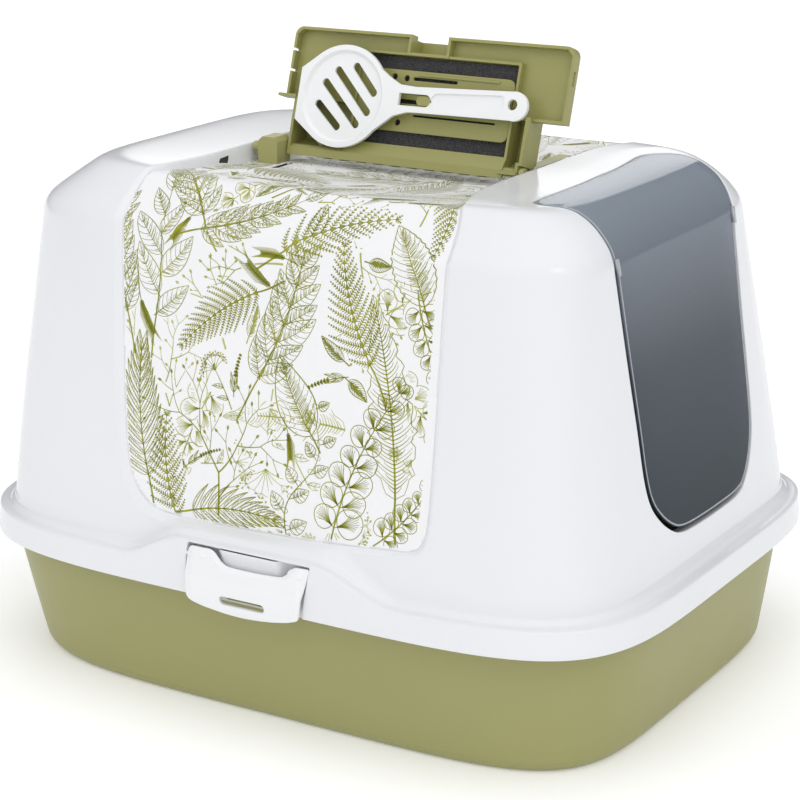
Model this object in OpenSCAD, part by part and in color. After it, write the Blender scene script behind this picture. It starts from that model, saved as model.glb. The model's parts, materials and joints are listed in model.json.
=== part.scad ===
// Hooded cat litter box: olive pan, white hood with a channel across its top,
// smoke door flap, two side clips, and a filter lid that stores a scoop.
// Origin: centre of the footprint on the floor. +X is the door end, +Z up.

/* [Overall] */
// Length over the hood's skirt
length = 572; // [480:1:640]
// Width over the hood's skirt
width = 448; // [380:1:500]
// Height of the hood's top above the floor
hood_top = 392; // [380:1:400]
// Number of sides round each moulded outline
round_steps = 88; // [48:8:96]

/* [Walls] */
// Hood wall thickness
hood_wall = 3; // [2:0.5:4]
// Pan wall thickness
pan_wall = 3; // [2:0.5:4]
// Depth of the printed panel's recess in the side walls
panel_recess = 2.5; // [1:0.5:3]

/* [Door] */
// Gap round the door flap
door_gap = 2.4; // [1.5:0.1:4]
// Thickness of the door flap
flap_thick = 2.6; // [2:0.1:4]
// Door pivot distance from the middle
door_x = 226; // [220:1:230]
// Door pivot height
door_z = 346; // [340:1:350]

/* [Side clips] */
// Clip width
clip_w = 102; // [80:1:110]
// Clip centre along the side
clip_x = 5.5; // [-10:0.5:10]
// Clip hinge height
clip_z = 131; // [128:1:134]

/* [Filter lid] */
// Lean of the open lid from upright
lid_lean = 18; // [10:1:30]
// Lid sheet thickness
lid_t = 2.2; // [1.5:0.1:3]
// Hinge rod radius
rod_r = 1.6; // [1:0.1:3]
// Clearance round a hinge rod
rod_gap = 0.06; // [0.02:0.01:0.1]

/* [Hidden] */
L2 = length/2;
W2 = width/2;
zt = hood_top;
lid_base = [0, -20, 387.6];
white = [0.95, 0.95, 0.96];
olive = [0.60, 0.60, 0.40];
smoke = [0.35, 0.38, 0.43];
NA = round_steps;

// one outline: half lengths front and back, half width, corner exponents
function warp(q) = 90*(q + 0.42*sin(360*q)/(2*PI));
function ang(j) = let(q = 4*j/NA, k = floor(q)) 90*k + warp(q - k);
function ring(r) = [for (j = [0:NA-1]) let(t = ang(j), c = cos(t), s = sin(t),
    n = c > 0 ? r[4] : r[5], k = pow(pow(abs(c), n) + pow(abs(s), n), -1/n))
    [(c > 0 ? r[1] : r[2])*c*k, r[3]*s*k, r[0]]];

module loft(rr) {
  m = len(rr);
  pts = concat([for (r = rr) each ring(r)], [[0, 0, rr[0][0]], [0, 0, rr[m-1][0]]]);
  polyhedron(points = pts, faces = concat(
    [for (j = [0:NA-1]) [m*NA, j, (j+1)%NA]],
    [for (j = [0:NA-1]) [m*NA+1, (m-1)*NA + (j+1)%NA, (m-1)*NA + j]],
    [for (i = [0:m-2], j = [0:NA-1]) let(a = i*NA + j, b = i*NA + (j+1)%NA) [a, a+NA, b+NA]],
    [for (i = [0:m-2], j = [0:NA-1]) let(a = i*NA + j, b = i*NA + (j+1)%NA) [a, b+NA, b]]));
}
// prism along X from a (y,z) outline, and along Y from an (x,z) outline
module yz(p, x0, x1) { translate([x0, 0, 0]) rotate([90, 0, 90]) linear_extrude(x1 - x0) polygon(p); }
module xz(p, y0, y1) { translate([0, y1, 0]) rotate([90, 0, 0]) linear_extrude(y1 - y0) polygon(p); }
module box(a, b) { translate(a) cube([b[0]-a[0], b[1]-a[1], b[2]-a[2]]); }
module xcyl(r, x0, x1, y, z) { translate([x0, y, z]) rotate([0, 90, 0]) cylinder(r = r, h = x1 - x0, $fn = 48); }
function arc(cx, cy, r, a0, a1, n) = [for (i = [0:n]) let(a = a0 + (a1-a0)*i/n) [cx + r*cos(a), cy + r*sin(a)]];
module both() { children(); mirror([0, 1, 0]) children(); }

// outer face of the hood, from the skirt's lower edge to the crown
hood_rings = [
  [100, L2, L2, W2, 5.1, 4.5],
  [117.5, L2-1, L2-1, W2-1, 5.1, 4.5],
  [120.5, L2-3.5, L2-3.5, W2-3.5, 5.1, 4.5],
  [121.8, L2-8, L2-8, W2-7, 5.1, 4.5],
  [123.5, 272.5, 272.5, 212.5, 5.2, 4.7],
  [127, 269, 268, 210, 5.6, 5.0],
  [134, 267.6, 265, 208.6, 6, 5.5],
  [208, 256.9, 258.5, 195.8, 6.2, 5.8],
  [282, 246.2, 252, 182.9, 6.2, 5.8],
  [356, 235.5, 245.6, 170.1, 6.2, 5.8],
  [361, 233, 242.5, 167.2, 6.2, 5.8],
  [371, 227.5, 231, 157.6, 6.2, 5.8],
  [380, 220, 219, 148.9, 6.2, 5.8],
  [387.5, 208.5, 208, 141.6, 6.2, 5.8],
  [390.2, 200, 201, 137.5, 6.2, 5.8],
  [391.3, 188, 190, 128, 6, 5.8],
  [391.8, 140, 140, 90, 5, 5],
  [zt, 60, 60, 40, 4, 4]];
t = hood_wall;
inner_rings = [
  [95, L2-3, L2-3, W2-3, 5.1, 4.5],
  [117, L2-4, L2-4, W2-4, 5.1, 4.5],
  [118, L2-6, L2-6, W2-5.5, 5.1, 4.5],
  [118.4, 270, 270, 209.8, 5.2, 4.7],
  [124, 269-t, 268-t, 210-t, 5.6, 5.0],
  [134, 267.6-t, 265-t, 208.6-t, 6, 5.5],
  [245, 251.6-t, 255.2-t, 189.3-t, 6.2, 5.8],
  [355, 235.5-t, 245.6-t, 170.1-t, 6.2, 5.8],
  [368.5, 227-t, 231-t, 157.6-t, 6.2, 5.8],
  [377.5, 219-t, 219-t, 148.7-t, 6.2, 5.8],
  [384.4, 208-t, 208-t, 141.4-t, 6.2, 5.8],
  [387.2, 200-t, 201-t, 137.3-t, 6.2, 5.8],
  [388.4, 186, 188, 126, 6, 5.8],
  [389, 60, 60, 40, 4, 4]];

// printed channel: recessed faces up the wall, over the shoulder and across the top
function chan(d) = [[-206+panel_recess+d, 144], [-169.8+panel_recess+d, 356.6-0.4*d],
  [-138.6+1+d*0.4, 387.6-d], [-60, 380.5-d], [-44, 378-d], [44, 378-d], [60, 380.5-d],
  [138.6-1-d*0.4, 387.6-d], [169.8-panel_recess-d, 356.6-0.4*d], [206-panel_recess-d, 144]];
function panel_xz(e) = concat([[-132-e, 400], [-129.5-e, 325], [-126-e, 277], [-121-e, 225], [-116.5-e, 195], [-109-e, 172-e], [-99-e, 158-e],
  [-85, 151.2-e], [-60, 149-e], [0, 149.4-e], [60, 152-e], [112, 156.5-e]],
  arc(131, 169, 12+e, -85, 0, 6), [[143+e, 225], [141.5+e, 300], [140+e, 400]]);
function channel_xy(e) = [[-150, -300], [160, -300], [160, -150], [138+e, -145], [123+e, -104], [118+e, -80], [118+e, 80], [123+e, 104],
  [138+e, 145], [160, 150], [160, 300], [-150, 300], [-150, 150], [-134-e, 145], [-120-e, 104], [-115-e, 80],
  [-115-e, -80], [-120-e, -104], [-134-e, -145], [-150, -150]];
module channel_cut() {
  intersection() {
    yz(concat(chan(0), [[300, 144], [300, 420], [-300, 420], [-300, 144]]), -150, 160);
    xz(concat(panel_xz(0), [[140, 420], [-132, 420]]), -300, 300);
    translate([0, 0, 140]) linear_extrude(280) polygon(channel_xy(0));
  }
}
module channel_block() {
  intersection() {
    yz(concat(chan(hood_wall), [[300, 138], [300, 420], [-300, 420], [-300, 138]]), -150, 160);
    xz(concat(panel_xz(3), [[143, 420], [-135, 420]]), -300, 300);
    translate([0, 0, 130]) linear_extrude(290) polygon(channel_xy(3));
  }
}
// door opening: front outline below the pivot, plan outline above it
function door_yz(g) = let(r = 38, h = 95.5-g) concat([[-(103-g), 360]], arc(-(h-r), 148+g+r, r, 180, 270, 8),
  arc(h-r, 148+g+r, r, 270, 360, 8), [[103-g, 360]]);
function door_xy(g) = let(r = 22, h = 110-g) concat([[300, -h]], [[300, h]], arc(165+g+r, h-r, r, 90, 180, 8), arc(165+g+r, -(h-r), r, 180, 270, 8));
module door_prism(g) {
  intersection() { yz(door_yz(g), 190, 300); box([190, -200, 100], [300, 200, g > 0 ? 360 : 355]); }
  translate([0, 0, g > 0 ? 358 : 352]) linear_extrude(60) polygon(door_xy(g));
}
// raised shoulder of the skirt round each side clip
module hump() {
  intersection() {
    yz([[-W2, 100], [-W2+1, 138], [-W2+3.5, 141.5], [-211, 146], [-204, 152], [-203, 121], [-W2+4, 118.4], [-W2+3, 117], [-W2+3, 100]], -140, 150);
    xz([[-104, 100], [-104, 118], [-54, 138], [-47, 152], [55, 152], [62, 138], [128, 118], [128, 100]], -300, 0);
  }
}
module clip_recess() {
  box([clip_x-clip_w/2-1.5, -260, 80], [clip_x+clip_w/2+1.5, -W2+4.5, 138.4]);
  box([clip_x-clip_w/2-1.5, -260, 123], [clip_x+clip_w/2+1.5, -213, 138.4]);
}
module hood() color(white) {
  difference() {
    union() { difference() { loft(hood_rings); channel_cut(); } both() hump(); }
    difference() { loft(inner_rings); channel_block(); }
    both() clip_recess();
    door_prism(0);
    // vent opening and lid catch slot in the channel, side pocket in its wall
    box([-80, 6, 360], [80, 52, 400]);
    box([-88, -44, 360], [-81.5, -17, 400]);
    yz([[-57.2, 387], [-68.2, 386.4], [-70.6, 383.9], [-59.9, 382]], -125, -112);
  }
}
// pan
module pan() color(olive) {
  difference() {
    union() {
      loft([[0, 253.5, 250.2, 186.8, 5.5, 4.6], [2, 258, 254.6, 191, 5.5, 4.6], [7, 261, 257.6, 194, 5.45, 4.6], [50, 267, 266.2, 199.9, 5.3, 4.7], [112, 275.4, 277.6, 208.2, 4.95, 4.8]]);
      loft([[109, L2-7, L2-7, W2-7, 5.1, 4.5], [117, L2-7, L2-7, W2-7, 5.1, 4.5], [117.8, L2-8, L2-8, W2-8, 5.1, 4.5]]);
    }
    loft([[pan_wall, 250, 246.6, 183, 5.5, 4.6], [8, 257.6, 254.2, 190.6, 5.45, 4.6], [50, 267-pan_wall, 266.2-pan_wall, 199.9-pan_wall, 5.3, 4.7],
      [114, 275.4-pan_wall, 277.6-pan_wall, 208.2-pan_wall, 4.95, 4.8], [119, 273.2, 275.2, 206, 4.95, 4.8]]);
  }
}
module catch_nub() { box([clip_x-16, -W2+2.6, 101], [clip_x+18.5, -206, 104.4]); }
module catch_near() color(olive) catch_nub();
module catch_far() color(olive) mirror([0, 1, 0]) catch_nub();

// thin printed skin on the recessed faces; one for each half
module skin() {
  intersection() {
    yz([[-206+panel_recess+0.42, 146.8], [-169.86+panel_recess, 356.64], [-138.62+1, 387.68], [-60, 380.56], [-44, 378.05], [-34, 378.05],
        [-34, 378.4], [-44, 378.4], [-60, 380.9], [-137.8, 388.05], [-170.2+panel_recess, 356.8], [-206.5+panel_recess+0.5, 146.8]], -140, 150);
    xz(concat(panel_xz(-2.2), [[137.8, 420], [-129.8, 420]]), -300, 300);
    translate([0, 0, 140]) linear_extrude(280) polygon(channel_xy(-2.2));
  }
}
module skin_cut() {
  difference() { skin(); box([-89, -45, 360], [-80.5, -30, 400]); box([-140, -68, 360], [-111, -30, 400]); box([-111, -38, 360], [120, -30, 400]); }
}
module print_near() color([0.90, 0.91, 0.84]) skin_cut();
module print_far() color([0.90, 0.91, 0.84]) mirror([0, 1, 0]) difference() { skin(); box([-125, -70, 360], [125, -30, 400]); }

// door
function ins(rr, d) = [for (r = rr) [r[0] > 300 ? r[0]-d*(r[0] > 380 ? 1 : (r[0] > 358 ? 0.6 : 0)) : r[0], r[1]-d*(r[0] > 386 ? 0.4 : 1), r[2]-d, r[3]-d, r[4], r[5]]];
module door_flap() color(smoke) {
  intersection() {
    difference() { loft(ins(hood_rings, 0.8)); loft(ins(hood_rings, 0.8 + flap_thick)); }
    door_prism(door_gap);
  }
  both() xz([[door_x-4, door_z-5], [door_x+8.2, door_z-5], [door_x+8.2, door_z+6], [door_x, door_z+6], [door_x-4, door_z+3]], 92, 97);
}
module door_pin() { translate([door_x, -92.5, door_z]) rotate([90, 0, 0]) cylinder(r = 2.5, h = 16, $fn = 48); }
module door_pin_near() color(smoke) door_pin();
module door_pin_far() color(smoke) mirror([0, 1, 0]) door_pin();
module door_bracket() {
  difference() {
    box([door_x-6, -110, door_z-6.5], [door_x+6.6, -103.5, door_z+5.4]);
    translate([door_x, -100, door_z]) rotate([90, 0, 0]) cylinder(r = 2.5 + rod_gap, h = 20, $fn = 48);
  }
}
module door_bracket_near() color(white) door_bracket();
module door_bracket_far() color(white) mirror([0, 1, 0]) door_bracket();

// side clip
module latch() {
  x0 = clip_x - clip_w/2; x1 = clip_x + clip_w/2; ya = -W2 + 2.5;
  difference() {
    union() {
      intersection() {
        yz([[-227.4, 91], [-229.6, 110], [-228.8, 121], [-224.6, 137.4], [-222, 137.4], [-222, 93.5], [-224.4, 91]], x0, x1);
        xz([[x0, 137.4], [x0+1.4, 102], [x0+4.4, 98.2], [x0+17, 94.4], [x0+40, 91.4], [clip_x, 91], [x1-40, 91.6], [x1-20, 94.2], [x1-4, 98.6], [x1-1.4, 102], [x1, 137.4]], -240, -200);
      }
      xcyl(4, x0, x0+21, ya, clip_z);
      xcyl(4, x1-21, x1, ya, clip_z);
    }
    xcyl(rod_r + rod_gap, x0-1, x1+1, ya, clip_z);
    xz(concat(arc(clip_x-8, 136, 8, 180, 270, 6), arc(clip_x+29, 136, 8, 270, 360, 6), [[clip_x+42, 141], [clip_x-22, 141]]), -240, -200);
    xz(concat(arc(clip_x-15.4, 102.6, 2.4, 90, 270, 8), arc(clip_x+17.8, 102.6, 2.4, -90, 90, 8)), -240, -200);
  }
}
module latch_near() color(white) latch();
module latch_far() color(white) mirror([0, 1, 0]) latch();
module latch_rod() { xcyl(rod_r, clip_x-clip_w/2-4, clip_x+clip_w/2+4, -W2+2.5, clip_z); }
module latch_rod_near() color(white) latch_rod();
module latch_rod_far() color(white) mirror([0, 1, 0]) latch_rod();

// hinge cradle in the channel
hw = 5;
hu = 3.6;
hy = lid_base[1] + cos(lid_lean)*hw + sin(lid_lean)*hu;
hz = lid_base[2] - sin(lid_lean)*hw + cos(lid_lean)*hu;
module cradle() color(olive) {
  difference() {
    union() {
      box([-114.4, -14, 378], [-104, 62, 387]);
      xz([[-105, 377], [-90.6, 377], [-89, 380], [-89, 395.4], [-91.6, 399], [-102.4, 399], [-106.6, 395], [-106.6, 380.6]], -31, -13);
      xcyl(4, -113.6, -106, -24, 389.5);
      box([103, -8, 378], [117.4, 66, 385]);
      box([103, -30, 378], [117.4, -8, 380.4]);
      box([104, 7, 378], [117.4, 66, 389.4]);
      box([-114.4, 7, 378], [-104, 62, 388.4]);
      box([-105, 26, 378], [104, 34, 380.6]);
      box([113.6, hy-3.9, 378], [117.4, hy+3.9, hz]);
      xcyl(3.9, 113.6, 117.4, hy, hz);
    }
    xcyl(rod_r-0.01, -94, 120, hy, hz);
    // the channel's floor
    yz([[-80, 300], [-80, 383.05], [-60, 380.55], [-44, 378.04], [44, 378.04], [60, 380.55], [80, 383.05], [80, 300]], -130, 130);
    box([-103, -29.5, 380], [-95, -14.5, 396]);
  }
}
module vent_grille() color(olive) difference() {
  box([-79.7, 6.3, 375.4], [79.7, 51.7, 377.9]);
  for (i = [0:9]) box([-74.4+i*15.2, 10, 370], [-74.4+i*15.2+9, 46, 380]);
}
module lid_rod() color([0.75, 0.75, 0.76]) xcyl(rod_r, -93.5, 117, hy, hz);

module at_lid() { translate(lid_base) rotate([-lid_lean, 0, 0]) children(); }
module lid_tray() color(olive) at_lid() difference() {
  union() {
    difference() {
      union() {
        xz(concat([[-99, 42], [142.5, 42]], arc(135.5, 91.6, 7, 0, 90, 5), arc(-92, 90, 7, 90, 180, 5)), 5, 14);
        yz([[0, 1.5], [6, 1.5], [24, 12], [24, 45], [0, 45]], -87.5, 113);
        yz([[0, 8.4], [17.9, 8.4], [24, 12], [24, 45], [0, 45]], 112, 115.6);
        xz([[115.5, 16], [116.9, 44], [116.9, 45], [115.5, 45]], 0, 2.2);
        yz([[5, 43], [24, 43], [24, 86], [5, 86]], -40.2, 102.2);
        box([2.5, 5, 82], [38.5, 24, 94.6]);
      }
      difference() {
        union() {
          xz([[-96.8, 44.2], [140.3, 44.2], [140.3, 92], [136, 96.4], [-93, 94.8], [-96.8, 91]], -1, 14-lid_t);
          yz([[-1, 3.8], [5.4, 3.8], [21.8, 13.3], [21.8, 42.8], [11.8, 42.8], [11.8, 46], [-1, 46]], -85.3, 110.8);
          box([-36, -1, 14], [98, 21.8, 82]);
          box([-38, -1, 14], [-36, 21.8, 42.8]);
          yz([[-1, 10.6], [17.2, 10.6], [21.8, 13.3], [21.8, 42.8], [11.8, 42.8], [11.8, 46], [-1, 46]], 108, 113.4);
        }
        // thumb notch pocket, filter frame, pocket rib
        box([2.5, 5, 82], [38.5, 24, 100]);
        difference() { box([-38, 6, 11.5], [100, 22, 83.9]); box([-36, 5, 14], [98, 23, 82]); }
        xz([[-87, 26], [-60, 4], [-56.5, 3.8], [-86, 28.5]], 9, 22);
        // sloping sill under the filter
        yz([[0, 3.6], [6, 13.4], [6, 14], [22, 14], [22, 12], [5, 3]], -38, 100);
        yz([[0, 3.6], [5, 13.2], [5, 42.8], [22, 42.8], [22, 12], [5, 3]], 98, 100);
      }
      box([4.7, 4, 84.2], [36.3, 21.8, 100]);
      xz([[2.5, 94.6], [38.5, 94.6], [38.5, 100], [2.5, 100]], 14, 25);
      box([139.5, 7, 70.5], [143.5, 10.5, 81]);
      box([-100, 4, 78], [-96, 12, 80]);
      box([-100, 4, 62], [-96, 12, 64]);
    }
    // lip that hangs in front of the hinge
    yz([[0, -2], [2.2, -2], [2.2, 4], [0, 4]], -87.5, 101);
    box([-102, -1.5, 41.6], [-86, 12, 43.8]);
    box([97.8, -1.6, 1], [112.8, 3, 3.2]);
    xcyl(3.2, -87.4, 112.9, hw, hu);
  }
  xcyl(rod_r + rod_gap, -90, 115, hw, hu);
}
module filter_pad() color([0.24, 0.24, 0.26]) at_lid() box([-35.8, 13, 14.2], [97.8, 21.7, 81.8]);
module filter_grate() color(olive) at_lid() {
  difference() {
    xz(concat([[-35.9, 24.6]], arc(91, 30.1, 5.5, -90, 0, 5), arc(91, 65.5, 5.5, 0, 90, 5), [[-35.9, 71]]), 7.5, 10);
    for (z = [46, 53]) xz(concat(arc(-12, z+1.6, 1.6, 90, 270, 6), arc(74, z+1.6, 1.6, -90, 90, 6)), 5, 12);
    xz(concat(arc(11, 65, 1.3, 90, 270, 6), arc(47, 65, 1.3, -90, 90, 6)), 5, 12);
    xz(concat(arc(15, 37.4, 0.8, 90, 270, 6), arc(84, 37.4, 0.8, -90, 90, 6)), 5, 12);
    for (p = [[-6.4, 65.5], [4.3, 64.9], [1.9, 31.4], [-20, 62], [-22, 31], [-14, 40]]) translate([p[0], 5, p[1]]) rotate([-90, 0, 0]) cylinder(r = 2.4, h = 8, $fn = 24);
  }
  box([14, 6.3, 67.4], [84, 7.6, 68.8]);
  // end tabs that reach the frame
  box([87, 7.5, 44], [97.9, 10, 52]);
}
module scoop_clip() color(olive) at_lid() {
  xz(concat(arc(24.6, 47.9, 3.7, 90, 270, 10), arc(29.6, 47.9, 3.7, -90, 90, 10)), -2.4, 7.5);
}
module scoop_outline() {
  translate([-43.6, 45.5]) circle(r = 39.1, $fn = 96);
  polygon([[-82.8, 25], [-82.8, 64.4], [-67.8, 76.2], [-50, 80], [-50, 11], [-65.8, 13.3]]);
  polygon([[-15, 70.6], [-4, 63.5], [6, 58.6], [20, 57.8], [101, 61.2], [101, 40], [20, 38.6], [14, 38.2], [3, 34.6], [-5, 28], [-15, 19.8]]);
  translate([104, 50.6]) circle(r = 10.9, $fn = 64);
}
module slot(a, b, r) {
  d = sqrt(pow(b[0]-a[0], 2) + pow(b[1]-a[1], 2));
  translate(a) rotate(atan2(b[1]-a[1], b[0]-a[0])) translate([r, 0]) { translate([0, -r]) square([d-2*r, 2*r]); circle(r = r, $fn = 32); translate([d-2*r, 0]) circle(r = r, $fn = 32); }
}
module scoop() color(white) at_lid() translate([0, -0.3, 0]) rotate([90, 0, 0]) {
  difference() {
    union() {
      linear_extrude(3.2) scoop_outline();
      translate([-43.6, 45.5, -1.6]) cylinder(r = 36, h = 3, $fn = 96);
    }
    translate([-43.6, 45.5, 0.4]) cylinder(r1 = 33, r2 = 36.3, h = 4, $fn = 96);
    translate([0, 0, -4]) linear_extrude(10) {
      slot([-67.3, 40.4], [-43.6, 20.5], 3.1);
      slot([-63.4, 57.2], [-27.4, 23.5], 3.1);
      slot([-53.8, 67.2], [-19.2, 33.4], 3.1);
      slot([-38.2, 71.2], [-15.8, 48.4], 3.1);
      polygon(concat([[6.3, 43.1], [6.3, 52.4]], arc(29.2, 47.9, 4.6, 90, -90, 12)));
      translate([102.5, 51.6]) circle(r = 4, $fn = 48);
    }
    translate([0, 0, 1.7]) linear_extrude(3) polygon(concat(arc(40, 48, 6.5, 90, 270, 10), [[93, 44], [95, 46], [95, 56], [93, 57.5]]));
  }
}

pan();
catch_near();
catch_far();
hood();
print_near();
print_far();
door_flap();
door_pin_near();
door_pin_far();
door_bracket_near();
door_bracket_far();
latch_near();
latch_far();
latch_rod_near();
latch_rod_far();
cradle();
vent_grille();
lid_rod();
lid_tray();
filter_pad();
filter_grate();
scoop_clip();
scoop();
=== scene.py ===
import bpy, bmesh, math, json, random
import numpy as np
from mathutils import Vector, Matrix
from mathutils.bvhtree import BVHTree

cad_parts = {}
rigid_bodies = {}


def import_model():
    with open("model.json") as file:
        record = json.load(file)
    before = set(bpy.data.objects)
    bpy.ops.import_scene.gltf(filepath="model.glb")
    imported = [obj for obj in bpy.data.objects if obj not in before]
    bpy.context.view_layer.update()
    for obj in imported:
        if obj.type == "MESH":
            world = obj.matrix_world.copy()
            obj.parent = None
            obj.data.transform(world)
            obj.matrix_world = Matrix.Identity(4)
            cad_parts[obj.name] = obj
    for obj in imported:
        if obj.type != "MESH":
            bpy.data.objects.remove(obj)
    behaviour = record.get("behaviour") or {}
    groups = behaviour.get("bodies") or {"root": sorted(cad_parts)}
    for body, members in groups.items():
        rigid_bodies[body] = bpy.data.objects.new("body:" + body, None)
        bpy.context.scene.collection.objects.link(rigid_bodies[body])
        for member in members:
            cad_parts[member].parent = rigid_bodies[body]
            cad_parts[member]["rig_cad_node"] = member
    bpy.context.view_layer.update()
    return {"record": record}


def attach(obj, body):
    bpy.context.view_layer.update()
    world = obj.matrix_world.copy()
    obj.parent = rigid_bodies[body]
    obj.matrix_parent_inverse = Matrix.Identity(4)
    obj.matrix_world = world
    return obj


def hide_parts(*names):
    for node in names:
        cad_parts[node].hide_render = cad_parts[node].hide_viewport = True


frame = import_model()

MM = 0.001
scene = bpy.context.scene
scene.view_settings.view_transform = "Standard"

# ------------------------------------------------------------------ materials
def mat(name, color, rough, bump=0.0, bump_scale=900.0, vary=0.02, coat=0.0, coat_rough=0.1, spec=0.5, rough_vary=0.05, ior=1.5,
        fade=None, micro=0.0):
    m = bpy.data.materials.new(name); m.use_nodes = True
    nt = m.node_tree; p = nt.nodes["Principled BSDF"]
    p.inputs["Roughness"].default_value = rough
    p.inputs["IOR"].default_value = ior
    p.inputs["Coat Weight"].default_value = coat
    p.inputs["Coat Roughness"].default_value = coat_rough
    p.inputs["Specular IOR Level"].default_value = spec
    tc = nt.nodes.new("ShaderNodeTexCoord")
    n1 = nt.nodes.new("ShaderNodeTexNoise"); n1.inputs["Scale"].default_value = 7.0; n1.inputs["Detail"].default_value = 3.0
    nt.links.new(tc.outputs["Object"], n1.inputs["Vector"])
    mix = nt.nodes.new("ShaderNodeMix"); mix.data_type = "RGBA"
    a = [c*(1-vary) for c in color]; b = [min(1, c*(1+vary)) for c in color]
    mix.inputs[6].default_value = (*a, 1); mix.inputs[7].default_value = (*b, 1)
    nt.links.new(n1.outputs["Fac"], mix.inputs[0])
    nt.links.new(mix.outputs[2], p.inputs["Base Color"])
    mr = nt.nodes.new("ShaderNodeMapRange")
    mr.inputs["To Min"].default_value = max(0.01, rough-rough_vary); mr.inputs["To Max"].default_value = rough+rough_vary
    n2 = nt.nodes.new("ShaderNodeTexNoise"); n2.inputs["Scale"].default_value = 38.0; n2.inputs["Detail"].default_value = 4.0
    nt.links.new(tc.outputs["Object"], n2.inputs["Vector"])
    nt.links.new(n2.outputs["Fac"], mr.inputs["Value"])
    nt.links.new(mr.outputs["Result"], p.inputs["Roughness"])
    if bump > 0:
        n3 = nt.nodes.new("ShaderNodeTexNoise"); n3.inputs["Scale"].default_value = bump_scale; n3.inputs["Detail"].default_value = 2.0
        nt.links.new(tc.outputs["Object"], n3.inputs["Vector"])
        bp = nt.nodes.new("ShaderNodeBump"); bp.inputs["Strength"].default_value = bump; bp.inputs["Distance"].default_value = 0.0006
        nt.links.new(n3.outputs["Fac"], bp.inputs["Height"])
        nt.links.new(bp.outputs["Normal"], p.inputs["Normal"])
    return m

def srgb(r, g, b):
    f = lambda c: (c/255/12.92) if c/255 <= 0.04045 else ((c/255+0.055)/1.055)**2.4
    return (f(r), f(g), f(b))

WHITE = mat("white_plastic_gloss", srgb(225, 226, 229), 0.16, bump=0.02, bump_scale=160, vary=0.006, rough_vary=0.03)
WHITE2 = mat("white_plastic_clip", srgb(232, 233, 235), 0.24, bump=0.03, bump_scale=300, vary=0.006)
SCOOPW = mat("white_plastic_scoop", srgb(238, 239, 240), 0.3, bump=0.05, bump_scale=700, vary=0.006)
OLIVE = mat("olive_plastic_satin", srgb(151, 149, 95), 0.42, bump=0.12, bump_scale=1400, vary=0.02)
OLIVE2 = mat("olive_plastic_lid", srgb(151, 149, 89), 0.36, bump=0.08, bump_scale=1100, vary=0.03)
OLIVE3 = mat("olive_plastic_cradle", srgb(166, 163, 106), 0.38, bump=0.08, bump_scale=1100, vary=0.03)
# painted shade: dark material for sheets set where only shade falls, in the catch slot and the side pocket
DARK_PAINTED_SHADE = mat("painted_shade_well_plastic", srgb(58, 55, 51), 0.6, bump=0.1, bump_scale=900, vary=0.05, spec=0.2)
FILM = mat("print_film_white", srgb(234, 234, 235), 0.42, bump=0.02, bump_scale=240, vary=0.006, spec=0.3)
STEEL = mat("hinge_steel", (0.62, 0.62, 0.64), 0.28, vary=0.04, spec=0.5)
STEEL.node_tree.nodes["Principled BSDF"].inputs["Metallic"].default_value = 1.0

def smoke_painted_light(name, top, mid, low, trans, ior, coat):
    m = bpy.data.materials.new(name); m.use_nodes = True
    nt = m.node_tree; p = nt.nodes["Principled BSDF"]
    p.inputs["IOR"].default_value = ior
    p.inputs["Transmission Weight"].default_value = trans
    p.inputs["Coat Weight"].default_value = coat
    tc = nt.nodes.new("ShaderNodeTexCoord")
    n2 = nt.nodes.new("ShaderNodeTexNoise"); n2.inputs["Scale"].default_value = 24.0; n2.inputs["Detail"].default_value = 3.0
    mr = nt.nodes.new("ShaderNodeMapRange"); mr.inputs["To Min"].default_value = 0.04; mr.inputs["To Max"].default_value = 0.10
    nt.links.new(tc.outputs["Object"], n2.inputs["Vector"]); nt.links.new(n2.outputs["Fac"], mr.inputs["Value"])
    nt.links.new(mr.outputs["Result"], p.inputs["Roughness"])
    # painted shade and reflection: the tint is deeper low down, painting the shade of the dark inside, and pale at the
    # top band, painting a reflection
    sx = nt.nodes.new("ShaderNodeSeparateXYZ"); nt.links.new(tc.outputs["Object"], sx.inputs[0])
    painted_light_by_height = nt.nodes.new("ShaderNodeMapRange"); painted_light_by_height.inputs["From Min"].default_value = 0.15; painted_light_by_height.inputs["From Max"].default_value = 0.39
    nt.links.new(sx.outputs["Z"], painted_light_by_height.inputs["Value"])
    r = nt.nodes.new("ShaderNodeValToRGB"); e = r.color_ramp.elements
    e[0].position = 0.0; e[0].color = (*low, 1); e[1].position = 1.0; e[1].color = (*top, 1)
    k = e.new(0.5); k.color = (*mid, 1)
    nt.links.new(painted_light_by_height.outputs["Result"], r.inputs["Fac"]); nt.links.new(r.outputs["Color"], p.inputs["Base Color"])
    return m
# painted light: both smoke materials carry the height ramp, painted shade low down and a painted reflection at the top
SMOKE_PAINTED_LIGHT = smoke_painted_light("smoke_acrylic_painted_light", (0.50, 0.56, 0.64), (0.135, 0.157, 0.20), (0.022, 0.048, 0.070), 0.62, 1.2, 0.0)
SMOKE_EDGE_PAINTED_HIGHLIGHT = smoke_painted_light("smoke_acrylic_edge_painted_highlight", (0.62, 0.65, 0.69), (0.56, 0.60, 0.64), (0.50, 0.54, 0.58), 0.45, 1.4, 0.2)

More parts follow.
